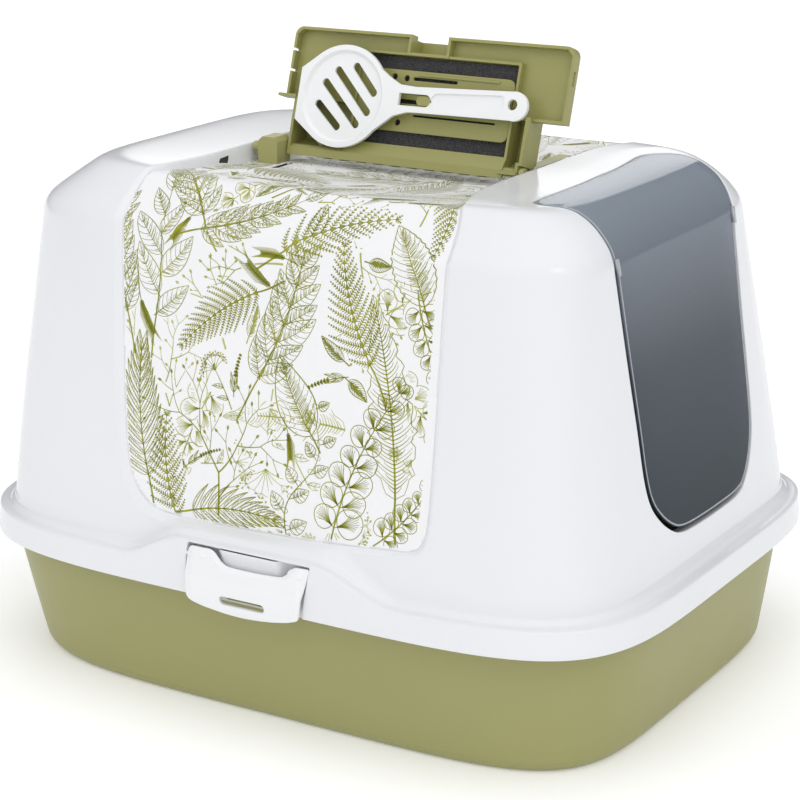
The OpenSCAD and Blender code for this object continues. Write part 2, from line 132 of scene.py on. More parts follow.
def felt():
    m = bpy.data.materials.new("carbon_felt"); m.use_nodes = True
    nt = m.node_tree; p = nt.nodes["Principled BSDF"]
    tc = nt.nodes.new("ShaderNodeTexCoord")
    n = nt.nodes.new("ShaderNodeTexNoise"); n.inputs["Scale"].default_value = 900.0; n.inputs["Detail"].default_value = 6.0; n.inputs["Roughness"].default_value = 0.7
    w = nt.nodes.new("ShaderNodeTexNoise"); w.inputs["Scale"].default_value = 420.0; w.inputs["Detail"].default_value = 8.0; w.inputs["Distortion"].default_value = 3.0
    for k in (n, w): nt.links.new(tc.outputs["Object"], k.inputs["Vector"])
    r = nt.nodes.new("ShaderNodeValToRGB")
    r.color_ramp.elements[0].position = 0.35; r.color_ramp.elements[0].color = (*srgb(22, 22, 24), 1)
    r.color_ramp.elements[1].position = 0.68; r.color_ramp.elements[1].color = (*srgb(88, 88, 90), 1)
    nt.links.new(n.outputs["Fac"], r.inputs["Fac"]); nt.links.new(r.outputs["Color"], p.inputs["Base Color"])
    add = nt.nodes.new("ShaderNodeMath"); add.operation = "ADD"
    nt.links.new(n.outputs["Fac"], add.inputs[0]); nt.links.new(w.outputs["Fac"], add.inputs[1])
    bp = nt.nodes.new("ShaderNodeBump"); bp.inputs["Strength"].default_value = 0.9; bp.inputs["Distance"].default_value = 0.0008
    nt.links.new(add.outputs["Value"], bp.inputs["Height"]); nt.links.new(bp.outputs["Normal"], p.inputs["Normal"])
    p.inputs["Roughness"].default_value = 0.95
    p.inputs["Sheen Weight"].default_value = 0.3
    return m
FELT = felt()

def ink(name, c0, c1):
    m = bpy.data.materials.new(name); m.use_nodes = True
    nt = m.node_tree; p = nt.nodes["Principled BSDF"]
    tc = nt.nodes.new("ShaderNodeTexCoord")
    n = nt.nodes.new("ShaderNodeTexNoise"); n.inputs["Scale"].default_value = 45.0; n.inputs["Detail"].default_value = 4.0
    nt.links.new(tc.outputs["Object"], n.inputs["Vector"])
    r = nt.nodes.new("ShaderNodeValToRGB")
    r.color_ramp.elements[0].position = 0.3; r.color_ramp.elements[0].color = (*c0, 1)
    r.color_ramp.elements[1].position = 0.7; r.color_ramp.elements[1].color = (*c1, 1)
    nt.links.new(n.outputs["Fac"], r.inputs["Fac"]); nt.links.new(r.outputs["Color"], p.inputs["Base Color"])
    p.inputs["Roughness"].default_value = 0.45
    p.inputs["Specular IOR Level"].default_value = 0.3
    return m
INK = ink("print_ink_olive", srgb(127, 131, 12), srgb(156, 157, 38))
INK2 = ink("print_ink_pale_olive", srgb(160, 163, 68), srgb(180, 182, 98))

# ------------------------------------------------------------------ mesh tools
def make(name, V, F, material, body, slot=None, repl=(), smooth=True, sharp=None):
    me = bpy.data.meshes.new(name)
    me.from_pydata((np.asarray(V, float)[:, :3]*MM).tolist(), [], [tuple(int(i) for i in f) for f in F])
    me.validate(clean_customdata=False)
    me.polygons.foreach_set("use_smooth", [smooth]*len(me.polygons))
    if sharp is not None:
        bm = bmesh.new(); bm.from_mesh(me)
        for e in bm.edges:
            if len(e.link_faces) == 2 and e.calc_face_angle(0) > math.radians(sharp): e.smooth = False
        bm.to_mesh(me); bm.free()
    me.materials.append(material)
    o = bpy.data.objects.new(name, me); scene.collection.objects.link(o)
    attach(o, body)
    if repl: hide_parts(*repl)
    return o

class M:
    """collects vertices and faces of one piece"""
    def __init__(s): s.V = []; s.F = []; s.n = 0
    def add(s, V, F):
        V = np.asarray(V, float)[:, :3]
        s.V.append(V); s.F += [tuple(int(i)+s.n for i in f) for f in F]; s.n += len(V)
    def make(s, name, material, body, **k): return make(name, np.concatenate(s.V), s.F, material, body, **k)

def sstep(x): x = np.clip(x, 0, 1); return x*x*(3-2*x)

def chaikin(A, n=3):
    A = np.asarray(A, float)
    for _ in range(n):
        q = A[:-1]*0.75+A[1:]*0.25; r = A[:-1]*0.25+A[1:]*0.75
        B = np.empty((2*len(q), A.shape[1])); B[0::2] = q; B[1::2] = r
        A = np.vstack([A[:1], B, A[-1:]])
    return A
def refine(A, step, cols=(0, 1)):
    out = [A[0]]
    for a, b in zip(A[:-1], A[1:]):
        d = np.linalg.norm((b-a)[list(cols)]); n = max(1, int(math.ceil(d/step)))
        for i in range(1, n+1): out.append(a+(b-a)*i/n)
    return np.array(out)

def gridfaces(R, N, wrap=True, flip=False):
    i = np.arange(R-1)[:, None]; j = np.arange(N if wrap else N-1)[None, :]
    a = i*N+j; b = i*N+(j+1) % N; c = (i+1)*N+(j+1) % N; d = (i+1)*N+j
    F = np.stack([a+0*b, b+0*a, c, d], -1).reshape(-1, 4)
    return F[:, ::-1] if flip else F

def gridnormals(P, wrap=True):
    if wrap: dj = np.roll(P, -1, 1)-np.roll(P, 1, 1)
    else:
        dj = np.gradient(P, axis=1)
    di = np.gradient(P, axis=0)
    n = np.cross(dj, di); l = np.linalg.norm(n, axis=2, keepdims=True)
    return n/np.maximum(l, 1e-12)

def clip(A, F, f):
    """A: rows of numbers per vertex (x,y,z first), F quads, keeps f>0. Returns A, faces, loops of boundary vertex indices (kept side on the left)."""
    f = np.where(np.abs(f) < 1e-6, 1e-6, f)
    ins = f > 0
    cnt = ins[F].sum(1)
    faces = [tuple(q) for q in F[cnt == 4]]
    new = []; key = {}; nxt = {}; n = len(A)
    for q in F[(cnt > 0) & (cnt < 4)]:
        poly = []; ev = []
        m = len(q)
        for i in range(m):
            a = q[i]; b = q[(i+1) % m]
            if ins[a]: poly.append(a)
            if ins[a] != ins[b]:
                k = (a, b) if a < b else (b, a)
                if k not in key:
                    t = f[k[0]]/(f[k[0]]-f[k[1]]); t = min(max(t, 0.02), 0.98)
                    key[k] = n+len(new); new.append(A[k[0]]+(A[k[1]]-A[k[0]])*t)
                poly.append(key[k]); ev.append((key[k], ins[a]))
        faces.append(tuple(poly))
        for e in range(len(ev)):
            if ev[e][1]:
                nxt[ev[e][0]] = ev[(e+1) % len(ev)][0]
    if new: A = np.vstack([A, np.array(new)])
    loops = []
    left = set(nxt)
    starts = [s for s in nxt if s not in set(nxt.values())]
    while left:
        s = None
        while starts:
            c = starts.pop()
            if c in left: s = c; break
        if s is None: s = next(iter(left))
        L = [s]; left.discard(s); c = nxt[s]; closed = False
        while True:
            if c == s: closed = True; break
            L.append(c)
            if c not in left: break
            left.discard(c); c = nxt[c]
        loops.append((np.array(L), closed))
    # drop unused vertices
    used = np.zeros(len(A), bool)
    for fc in faces:
        used[list(fc)] = True
    for L, _ in loops: used[L] = True
    idx = np.cumsum(used)-1
    faces = [tuple(idx[list(fc)]) for fc in faces]
    loops = [(idx[L], c) for L, c in loops]
    return A[used], faces, loops

def loop_frames(P, N, closed):
    if closed: T = np.roll(P, -1, 0)-np.roll(P, 1, 0)
    else: T = np.gradient(P, axis=0)
    T /= np.maximum(np.linalg.norm(T, axis=1, keepdims=True), 1e-12)
    N = N/np.maximum(np.linalg.norm(N, axis=1, keepdims=True), 1e-12)
    D = np.cross(T, N); D /= np.maximum(np.linalg.norm(D, axis=1, keepdims=True), 1e-12)
    return T, N, D

def strip(A, faces, L, closed, rows):
    """adds rows (each an array of points for the loop L) below the loop, joined to it. Returns A, faces and the last row's indices"""
    prev = list(L); n = len(A)
    extra = []
    k = len(L)
    for r in rows:
        cur = list(range(n, n+k)); n += k
        B = np.zeros((k, A.shape[1])); B[:, :3] = r; extra.append(B)
        for i in range(k if closed else k-1):
            j = (i+1) % k
            faces.append((prev[j], prev[i], cur[i], cur[j]))
        prev = cur
    return np.vstack([A]+extra), faces, prev

def rim(A, faces, L, closed, N, prof, smoothT=0):
    P = A[L, :3]
    T, Nn, D = loop_frames(P, N, closed)
    rows = [P+D*d+Nn*h for d, h in prof]
    return strip(A, faces, L, closed, rows)

def round_prof(r, depth, n=4, out=True):
    """quarter round of radius r, then straight back to depth"""
    pr = [(r*math.sin(a), r*(math.cos(a)-1)) for a in np.linspace(0, math.pi/2, n+1)[1:]]
    if depth > r: pr.append((r, -depth))
    return pr

def sd_poly(X, Y, poly):
    """signed distance, positive inside, to a closed polygon"""
    poly = np.asarray(poly, float); X = np.asarray(X, float); Y = np.asarray(Y, float)
    d = np.full(X.shape, 1e18); ins = np.zeros(X.shape, bool)
    for i in range(len(poly)):
        ax, ay = poly[i]; bx, by = poly[(i+1) % len(poly)]
        ex, ey = bx-ax, by-ay; l2 = ex*ex+ey*ey
        if l2 == 0: continue
        t = np.clip(((X-ax)*ex+(Y-ay)*ey)/l2, 0, 1)
        d = np.minimum(d, (X-ax-t*ex)**2+(Y-ay-t*ey)**2)
        c = ((ay > Y) != (by > Y))
        with np.errstate(divide="ignore", invalid="ignore"):
            xi = ax+(Y-ay)*ex/(ey if ey != 0 else 1e-12)
        ins ^= c & (X < xi)
    d = np.sqrt(d)
    return np.where(ins, d, -d)
def sd_box(X, Y, x0, y0, x1, y1, r=0.0):
    cx, cy = (x0+x1)/2, (y0+y1)/2; hx, hy = (x1-x0)/2-r, (y1-y0)/2-r
    qx = np.abs(X-cx)-hx; qy = np.abs(Y-cy)-hy
    return -(np.hypot(np.maximum(qx, 0), np.maximum(qy, 0))+np.minimum(np.maximum(qx, qy), 0)-r)
def sd_circle(X, Y, cx, cy, r): return r-np.hypot(X-cx, Y-cy)
def sd_seg(X, Y, ax, ay, bx, by, r):
    ex, ey = bx-ax, by-ay; t = np.clip(((X-ax)*ex+(Y-ay)*ey)/(ex*ex+ey*ey), 0, 1)
    return r-np.hypot(X-ax-t*ex, Y-ay-t*ey)
def smax(a, b, k):
    h = np.maximum(k-np.abs(a-b), 0)/k
    return np.maximum(a, b)+h*h*k*0.25

def rounded_poly(pts, radii, n=6):
    """polygon with rounded corners"""
    pts = [np.array(p, float) for p in pts]; out = []
    m = len(pts)
    for i in range(m):
        p, a, b = pts[i], pts[i-1], pts[(i+1) % m]
        r = radii[i] if not np.isscalar(radii) else radii
        if r <= 0: out.append(p); continue
        u = (a-p)/np.linalg.norm(a-p); v = (b-p)/np.linalg.norm(b-p)
        ang = math.acos(max(-1, min(1, float(u@v)))); t = r/math.tan(ang/2)
        t = min(t, 0.49*np.linalg.norm(a-p), 0.49*np.linalg.norm(b-p))
        p0, p1 = p+u*t, p+v*t
        for k in range(n+1):
            s = k/n; out.append((1-s)**2*p0+2*s*(1-s)*p+s*s*p1)
    return np.array(out)

def plate(surf, f, u0, u1, v0, v1, step, r, thick, name=None, back=True, flip=False, prof=None):
    """sheet with rounded edges: surf(U,V) gives the front face, f(U,V) the distance inside the outline"""
    nu = int((u1-u0)/step)+1; nv = int((v1-v0)/step)+1
    U, W = np.meshgrid(np.linspace(u0, u1, nu+1), np.linspace(v0, v1, nv+1))
    P = surf(U, W); N = gridnormals(P, False)
    if flip: N = -N
    F = gridfaces(nv+1, nu+1, False, flip)
    A = np.concatenate([P.reshape(-1, 3), N.reshape(-1, 3)], 1)
    fv = f(U, W).ravel()
    m = M()
    B, faces, loops = clip(A, F, fv-r)
    for L, closed in loops:
        B, faces, last = rim(B, faces, L, closed, B[L, 3:6], prof or round_prof(r, thick-(r if back else 0)))
    m.add(B, faces)
    if back:
        A2 = A.copy(); A2[:, :3] -= A[:, 3:6]*thick; A2[:, 3:6] *= -1
        B, faces, loops = clip(A2, F[:, ::-1], fv-r)
        for L, closed in loops:
            B, faces, last = rim(B, faces, L, closed, B[L, 3:6], round_prof(r, 0))
        m.add(B, faces)
    return m

# ------------------------------------------------------------------ hood
L2, W2, ZT = 286.0, 224.0, 392.0
def ring_rows(rings, NC, t=None):
    rings = np.asarray(rings, float)
    t = np.linspace(0, 2*np.pi, NC, endpoint=False) if t is None else t
    c, s = np.cos(t)[None], np.sin(t)[None]
    z, xf, xb, yw, nf, nb = [rings[:, i:i+1] for i in range(6)]
    # the two halves' corner exponents meet smoothly at the middle of the long sides
    w = sstep((c+0.25)/0.5)
    n = nb+(nf-nb)*w
    k = (np.abs(c)**n+np.abs(s)**n)**(-1/n)
    x = np.where(c > 0, xf, xb)*c*k; y = yw*s*k
    return np.stack([x, y, z+0*x], -1)

OUTER = [
  [100.2, L2-2.4, L2-2.4, W2-2.4, 5.1, 4.5], [99.95, L2-1.2, L2-1.2, W2-1.2, 5.1, 4.5], [100.0, L2-0.1, L2-0.1, W2-0.1, 5.1, 4.5],
  [101.2, L2, L2, W2, 5.1, 4.5], [104, L2, L2, W2, 5.1, 4.5],
  [114, L2-0.8, L2-0.8, W2-0.8, 5.1, 4.5], [118.2, L2-1.1, L2-1.1, W2-1.1, 5.1, 4.5],
  [119.6, L2-1.5, L2-1.5, W2-1.5, 5.1, 4.5], [120.1, L2-2.0, L2-2.0, W2-2.0, 5.1, 4.5], [120.5, L2-3.4, L2-3.4, W2-3.2, 5.1, 4.5],
  [120.9, L2-6.5, L2-6.5, W2-5.6, 5.1, 4.5], [121.4, 276.8, 276.8, 216.4, 5.15, 4.6],
  [123.6, 274.6, 274.4, 214.4, 5.2, 4.7], [124.6, 272.2, 271.8, 212.4, 5.3, 4.8],
  [125.4, 270.4, 269.8, 211.2, 5.5, 4.95], [128.5, 268.9, 267.3, 209.7, 5.7, 5.2],
  [136, 267.3, 264.8, 208.2, 6, 5.5],
  [208, 256.9, 258.5, 195.8, 6.2, 5.8], [282, 246.2, 252, 182.9, 6.2, 5.8],
  [346, 236.9, 246.5, 171.8, 6.2, 5.8], [354, 235.7, 245.6, 170.4, 6.2, 5.8],
  [360, 233.6, 243.0, 167.8, 6.2, 5.8], [365, 231.2, 238.6, 163.0, 6.2, 5.8],
  [371, 227.5, 231, 157.6, 6.2, 5.8], [380, 220, 219, 148.9, 6.2, 5.8],
  [386.5, 210.5, 210, 142.6, 6.2, 5.8], [389.4, 204, 204, 139.2, 6.2, 5.8],
  [390.6, 197, 198, 135.5, 6.2, 5.8], [391.15, 188, 190, 128, 6, 5.8], [391.5, 172, 174, 115, 5.6, 5.5],
  [391.8, 140, 140, 90, 5, 5], [391.95, 100, 100, 64, 4.4, 4.4]]
ROWS = refine(chaikin(OUTER, 2), 3.2)
NC = 720
tt = np.linspace(0, 2*np.pi, NC, endpoint=False)

# hump of the skirt round each side clip
def hump_h(x): return 20.0*sstep((x+108)/58)*(1-sstep((x-60)/70))
def hood_surface(rows=ROWS):
    P = ring_rows(rows, NC)
    z = P[..., 2].copy(); y = P[..., 1]
    side = sstep((np.abs(y)-150)/25)
    h = hump_h(P[..., 0])*side
    W = np.interp(z, [100, 101.5, 117.4, 119.5, 128.5, 131, 150, 215], [0, 0.06, 1, 1, 1.28, 1.28, 1.0, 0])
    dz = h*W
    P[..., 2] = z+dz
    cy = sstep((z-121)/9)*0.1732*dz
    P[..., 1] = y-np.sign(y)*cy
    return P

# unfolded height: 0 at the middle of the top, growing down each long side
S_CR, S_LO = 138.5, 183.1
def unfold(y, z):
    ay = np.abs(y)
    top = ay
    fac = S_CR+np.hypot(ay-138.5, 391-z)*np.sign(ay-138.5+391-z)
    wall = S_LO+(359.2-z)*1.0149
    u = (ay-138.5)*30.9+(391-z)*32.0  # along the facet
    u = u/44.5
    s = np.where(u < 0, np.minimum(ay, 138.5), np.where(u > 44.6, wall, S_CR+u))
    s = np.where((z < 359.2), np.maximum(wall, S_LO), np.minimum(s, S_LO))
    return s
def zs(z): return S_LO+(359.2-z)*1.0149
# printed channel's outline on (x, s), s from far bottom (negative) to near bottom
_left = [(-115, 0), (-115, 78), (-117.5, 96), (-123, 118), (-131.5, 142), (-134.5, 160), (-134.3, 178), (-132.6, 200), (-129.6, 232), (-126, zs(277)), (-121.4, zs(232)), (-117, zs(200)), (-113.2, zs(182)),
         (-108.5, zs(171)), (-101, zs(160.5)), (-92, zs(154)), (-80, zs(150.4)), (-60, zs(149.2))]
_right = [(118, 0), (118, 78), (120.5, 96), (126, 118), (134.5, 142), (138.5, 160), (139.6, 180), (140.6, 230), (141.8, zs(280)), (143.2, zs(225)), (143.6, zs(190)), (143.2, zs(176)),
          (141, zs(166)), (136, zs(160)), (128, zs(157.4)), (112, zs(156.4)), (60, zs(152)), (0, zs(149.6))]
def smooth_open(p, it=2): return chaikin(np.array(p, float), it)
_l = smooth_open(_left); _r = smooth_open(_right)
near_half = np.vstack([_l, _r[::-1]])
PANEL = np.vstack([near_half, np.column_stack([near_half[::-1, 0], -near_half[::-1, 1]])])
# remove doubled points at s=0
keep = [0]
for i in range(1, len(PANEL)):
    if np.linalg.norm(PANEL[i]-PANEL[keep[-1]]) > 1e-6: keep.append(i)
PANEL = PANEL[keep]
def sd_panel(x, s): return sd_poly(x, s, PANEL)

# recessed face of the channel: (|y|, z) against s
_fs = np.array([0, 40, 46, 58, 64, 131, 138.5, 146, 176, 183.1, 190, zs(144), zs(120)])
_fy = np.array([0, 40, 46, 58, 64, 130.2, 137.6, 142.4, 162.6, 167.2, 168.6, 203.6, 207.7])
_fz = np.array([378, 378, 378.3, 380.1, 380.9, 386.9, 387.5, 382.4, 361.4, 356.6, 349.4, 144, 120])
ss = np.linspace(0, 420, 1681)
def _sm(a, w):
    k = np.ones(w)/w; b = np.concatenate([2*a[0]-a[w:0:-1], a, 2*a[-1]-a[-2:-w-2:-1]])
    return np.convolve(b, k, "same")[w:w+len(a)]
FY = np.interp(ss, _fs, _fy); FZ = np.interp(ss, _fs, _fz)
for _ in range(2): FY = _sm(FY, 13); FZ = _sm(FZ, 13)
def floor_pt(x, s, off=0.0):
    a = np.abs(s); y = np.interp(a, ss, FY); z = np.interp(a, ss, FZ)
    if np.any(off):
        e = 0.6
        dy = np.interp(a+e, ss, FY)-np.interp(np.maximum(a-e, 0), ss, FY); dz = np.interp(a+e, ss, FZ)-np.interp(np.maximum(a-e, 0), ss, FZ)
        l = np.hypot(dy, dz); ny, nz = -dz/l, dy/l
        y = y+ny*off; z = z+nz*off
    y = np.where(s < 0, y, -y)   # the near side is -Y
    return np.stack([x+0*y, y, z], -1)

# door: outline on (y, q), q = 0 at the top edge, growing over the shoulder and down
_pr = np.array([[391.6, 165], [391.2, 188], [390.6, 197], [389.4, 204], [386.5, 210.5], [380, 220], [371, 227.5], [365, 231.2], [360, 233.6], [354, 235.7], [346, 236.9], [282, 246.2], [208, 256.9], [136, 267.3], [120, 270]])
_q = np.concatenate([[0], np.cumsum(np.hypot(*np.diff(_pr, axis=0).T))])
def door_q(x, z):
    Lz = np.interp(-z, -_pr[:, 0], _q)
    w = sstep((390.4-z)/3.5)
    return (x-165)*(1-w)+w*Lz
def qz(z): return float(np.interp(-z, -_pr[:, 0], _q))
def qpt_z(q): return np.interp(q, _q, _pr[:, 0])
_nearpt = [(169.8, -20, 391.5), (170, -46, 391.5), (169.2, -82, 391.4), (168.6, -97, 391.2), (170.5, -103.4, 391.1), (178.7, -105.6, 390.9), (187.1, -104, 390.5), (198.4, -100.8, 388.9), (208, -99.9, 384.8),
  (216, -100, 379), (224.6, -100.2, 370.5), (229.5, -100, 363), (233, -100.8, 356.7), (235, -100.9, 347.8), (238.4, -100, 326), (245, -97.6, 280), (252.3, -94, 234.4), (256.7, -92.8, 204.8), (259.5, -89.4, 186.2),
  (261.4, -82.6, 173.8), (263.4, -69, 160.7), (264.8, -52.6, 150.8), (265.4, -40, 147.6), (265.6, -26, 146.2), (265.7, 0, 145.4)]
_farpt = [(265.7, 30, 145.4), (265.6, 48, 145.8), (265.5, 60, 147), (265, 70.5, 150.4), (262.4, 84, 163), (259.8, 94, 182), (257.4, 97.8, 198.6), (251, 98.8, 239.6), (245.4, 98.8, 277.6), (240.8, 100.2, 306.6), (237.4, 100.8, 330),
  (234.6, 101.8, 346.6), (231, 102.9, 359.9), (223.8, 107.4, 369.5), (214.6, 111.6, 377.8), (205.4, 111.8, 383.8), (196, 110.2, 388.8), (181, 111.8, 390.8), (170.2, 105.4, 391.2), (161.6, 91.6, 391.4), (161.4, 80, 391.4),
  (165.4, 54.6, 391.5), (168.2, 27, 391.5), (168.2, 0, 391.5)]
_dp = np.array(_nearpt+_farpt, float)
_dr = np.column_stack([_dp[:, 1], door_q(_dp[:, 0], _dp[:, 2])])
def chaikin_closed(A, n=2):
    A = np.asarray(A, float)
    for _ in range(n):
        Bn = np.roll(A, -1, 0); C = np.empty((2*len(A), A.shape[1])); C[0::2] = A*0.75+Bn*0.25; C[1::2] = A*0.25+Bn*0.75; A = C
    return A
DOOR = chaikin_closed(_dr, 2)
def sd_door(x, y, z):
    d = sd_poly(y, door_q(x, z), DOOR)
    return np.where(x > 120, d, -60.0)

P = hood_surface()
X, Y, Z = P[..., 0], P[..., 1], P[..., 2]
Nrm = gridnormals(P)
dd = sd_door(X, Y, Z)
# the band round the door slopes in towards the opening
band = np.where(dd < 0, np.clip(1-(-dd)/21.0, 0, 1), 1.0)
depth = 0.9*(band**1.1)
kk = sstep((dd+26)/8)*0+1
P = P-Nrm*(depth*kk)[..., None]*sstep((X-140)/20)[..., None]*sstep((Z-128)/10)[..., None]
X, Y, Z = P[..., 0], P[..., 1], P[..., 2]
Nrm = gridnormals(P)
S = unfold(Y, Z)*np.where(Y < 0, 1, -1)
dp = sd_panel(X, S)
dp = np.where((np.abs(X) < 175), dp, -60)
# bevel width round the channel: wide on the left of the wall, narrow elsewhere
def bevel_w(x, s):
    a = np.abs(s)
    wl = np.interp(a, [0, 110, 150, 190, 420], [2.2, 2.6, 5.5, 8.5, 8.5])
    wr = np.interp(a, [0, 110, 150, 190, 420], [2.2, 2.4, 3.2, 4.2, 4.2])
    k = sstep((x+100)/60)
    return wl+(wr-wl)*k
fpanel = -dp-bevel_w(X, S)
fdoor = -dd-0.8
# clip recess
CX0, CX1 = -45.2, 63.4
CLIPCUT = np.array([(-45.0, 60), (-45.0, 128), (-43.6, 139.4), (61.7, 139.4), (60.0, 131), (56.9, 115), (55.1, 99), (55.1, 60)])
def sd_clipcut(x, y, z): return np.where(np.abs(y) > 205, sd_poly(x, z, CLIPCUT), -60.0)
fclip = -sd_clipcut(X, Y, Z)-0.8
A = np.concatenate([P.reshape(-1, 3), Nrm.reshape(-1, 3), X.reshape(-1, 1), S.reshape(-1, 1)], 1)
F = gridfaces(len(ROWS), NC)
fall = np.minimum(np.minimum(fpanel, fdoor), fclip).ravel()
hood = M()
B, faces, loops = clip(A, F, fall)
ring_last = None
for L, closed in loops:
    c = B[L, :3].mean(0); ext = B[L, :3].max(0)-B[L, :3].min(0)
    Q = B[L, :3]
    if c[0] > 150:            # door opening
        B, faces, _ = rim(B, faces, L, closed, B[L, 3:6], round_prof(0.8, 11, 4))
    elif ext[2] < 60 and abs(c[1]) > 190:   # clip recess: scooped at the top, straight at the sides
        T, Nn, D = loop_frames(Q, B[L, 3:6], closed)
        Nn = np.stack([0*Q[:, 0], np.sign(Q[:, 1]), 0*Q[:, 0]], 1)
        up = sstep((Q[:, 2]-136.0)/3.0)[:, None]
        inw = -Nn
        dn = np.array([0, 0, -1.0])
        rows = []
        for a in np.linspace(0, 1, 5)[1:]:
            rows.append(Q+D*0.8*math.sin(a*math.pi/2)+Nn*0.8*(math.cos(a*math.pi/2)-1))
        for k, (g, e) in enumerate([(2.5, 1.0), (5.0, 2.6), (7.2, 5.2), (8.6, 9.0), (9.2, 14.0), (9.4, 22.0)]):
            rows.append(rows[3]+inw*g+dn*(e*up))
        B, faces, _ = strip(B, faces, L, closed, rows)
    else:                      # channel: bevel down to the recessed face
        xs, s_ = B[L, 6], B[L, 7]
        e = 0.4
        gx = (sd_panel(xs+e, s_)-sd_panel(xs-e, s_))/(2*e); gs = (sd_panel(xs, s_+e)-sd_panel(xs, s_-e))/(2*e)
        gl = np.maximum(np.hypot(gx, gs), 1e-6); gx, gs = gx/gl, gs/gl
        d0 = -sd_panel(xs, s_)
        tx, ts = xs+gx*(d0+0.3), s_+gs*(d0+0.3)
        E = floor_pt(tx, ts, -0.25)
        E0 = floor_pt(tx-gx*1.0, ts-gs*1.0, 0.0)
        T, Nn, D = loop_frames(Q, B[L, 3:6], closed)
        w = bevel_w(xs, s_)[:, None]
        drop = np.linalg.norm(E-Q, axis=1)[:, None]
        c1 = Q+D*np.minimum(w*0.5, 1.6); c2 = E-(E-Q)/np.maximum(drop, 1e-6)*np.minimum(drop*0.3, 1.2)
        rows = []
        for a in np.linspace(0, 1, 9)[1:]:
            rows.append((1-a)**3*Q+3*(1-a)**2*a*c1+3*(1-a)*a*a*c2+a**3*E)
        B, faces, _ = strip(B, faces, L, closed, rows)
hood.add(B, faces)
# recess backs behind the clips
for sy in (-1, 1):
    xs = np.linspace(CX0-0.5, CX1+0.5, 44); zz = np.linspace(96, 138.7, 28)
    XX, ZZ = np.meshgrid(xs, zz)
    YY = sy*(213.6+sstep((XX+25)/12)*(1-sstep((XX-32)/9))*(6.6*sstep((ZZ-112)/9)+2.4*sstep((ZZ-130)/9)))
    G = np.stack([XX, YY, ZZ], -1)
    hood.add(G.reshape(-1, 3), gridfaces(28, 44, False, sy > 0))
# recessed face of the channel
def chan_sheet(off, grow, holes=True, flip=False, step=3.0):
    xs = np.arange(-140, 150, step); sv = np.arange(-402, 403, step)
    U, W = np.meshgrid(xs, sv)
    G = floor_pt(U, W, off); N = gridnormals(G, False)
    if flip: N = -N
    Fq = gridfaces(len(sv), len(xs), False, flip)
    f = sd_panel(U, W)+grow
    if holes:
        f = np.minimum(f, -sd_box(U, W, -88, 17, -81.5, 44, 0.8))
        f = np.minimum(f, -sd_box(U, W, -80, -52, 80, -6, 2.0))
    AA = np.concatenate([G.reshape(-1, 3), N.reshape(-1, 3)], 1)
    return clip(AA, Fq, f.ravel())
B, faces, loops = chan_sheet(0.0, 0.2, flip=False)
for L, closed in loops:
    ext = B[L, :3].max(0)-B[L, :3].min(0)
    dn = -1 if B[L, 5].mean() < 0 else 1   # the cut edges turn down into the hood
    if ext[0] < 200: B, faces, _ = rim(B, faces, L, closed, B[L, 3:6], [(d, h*dn) for d, h in round_prof(0.5, 3.2, 2)])
hood.add(B, faces)
B, faces, loops = chan_sheet(-3.0, 3.0, flip=True, step=4.0)
hood.add(B, faces)
# inside face
Pi = hood_surface(); Ni = gridnormals(Pi)
Pi = Pi-Ni*3.0
rsel = np.where(ROWS[:, 0] > 119)[0]
rsel = rsel[::2]
Pi = Pi[rsel][:, ::3]; 
fi = np.minimum(-sd_door(Pi[..., 0], Pi[..., 1], Pi[..., 2])-1.5, -np.where(np.abs(Pi[..., 0]) < 175, sd_panel(Pi[..., 0], unfold(Pi[..., 1], Pi[..., 2]+3)*np.where(Pi[..., 1] < 0, 1, -1)), -60)-3)
Ai = np.concatenate([Pi.reshape(-1, 3), Pi.reshape(-1, 3)], 1)
B, faces, loops = clip(Ai, gridfaces(Pi.shape[0], Pi.shape[1])[:, ::-1], fi.ravel())
hood.add(B, faces)
# underside of the skirt: from the lower edge up inside to the inner face
under = ring_rows(refine(np.array([[100.2, L2-2.4, L2-2.4, W2-2.4, 5.1, 4.5], [103, L2-3, L2-3, W2-3, 5.1, 4.5], [117, L2-4, L2-4, W2-4, 5.1, 4.5], [118, L2-6, L2-6, W2-5.5, 5.1, 4.5], [118.4, 270, 270, 209.8, 5.2, 4.7], [122, 267, 266, 208, 5.5, 4.9]]), 4), NC)
fu = -sd_clipcut(under[..., 0], under[..., 1], under[..., 2])
fu = np.where(under[..., 2] > 112, 5.0, fu)
B, faces, loops = clip(under.reshape(-1, 3), gridfaces(under.shape[0], NC)[:, ::-1], fu.ravel())
hood.add(B, faces)
HOOD = hood.make("hood_shell", WHITE, "hood", slot="white_plastic", repl=("hood",))

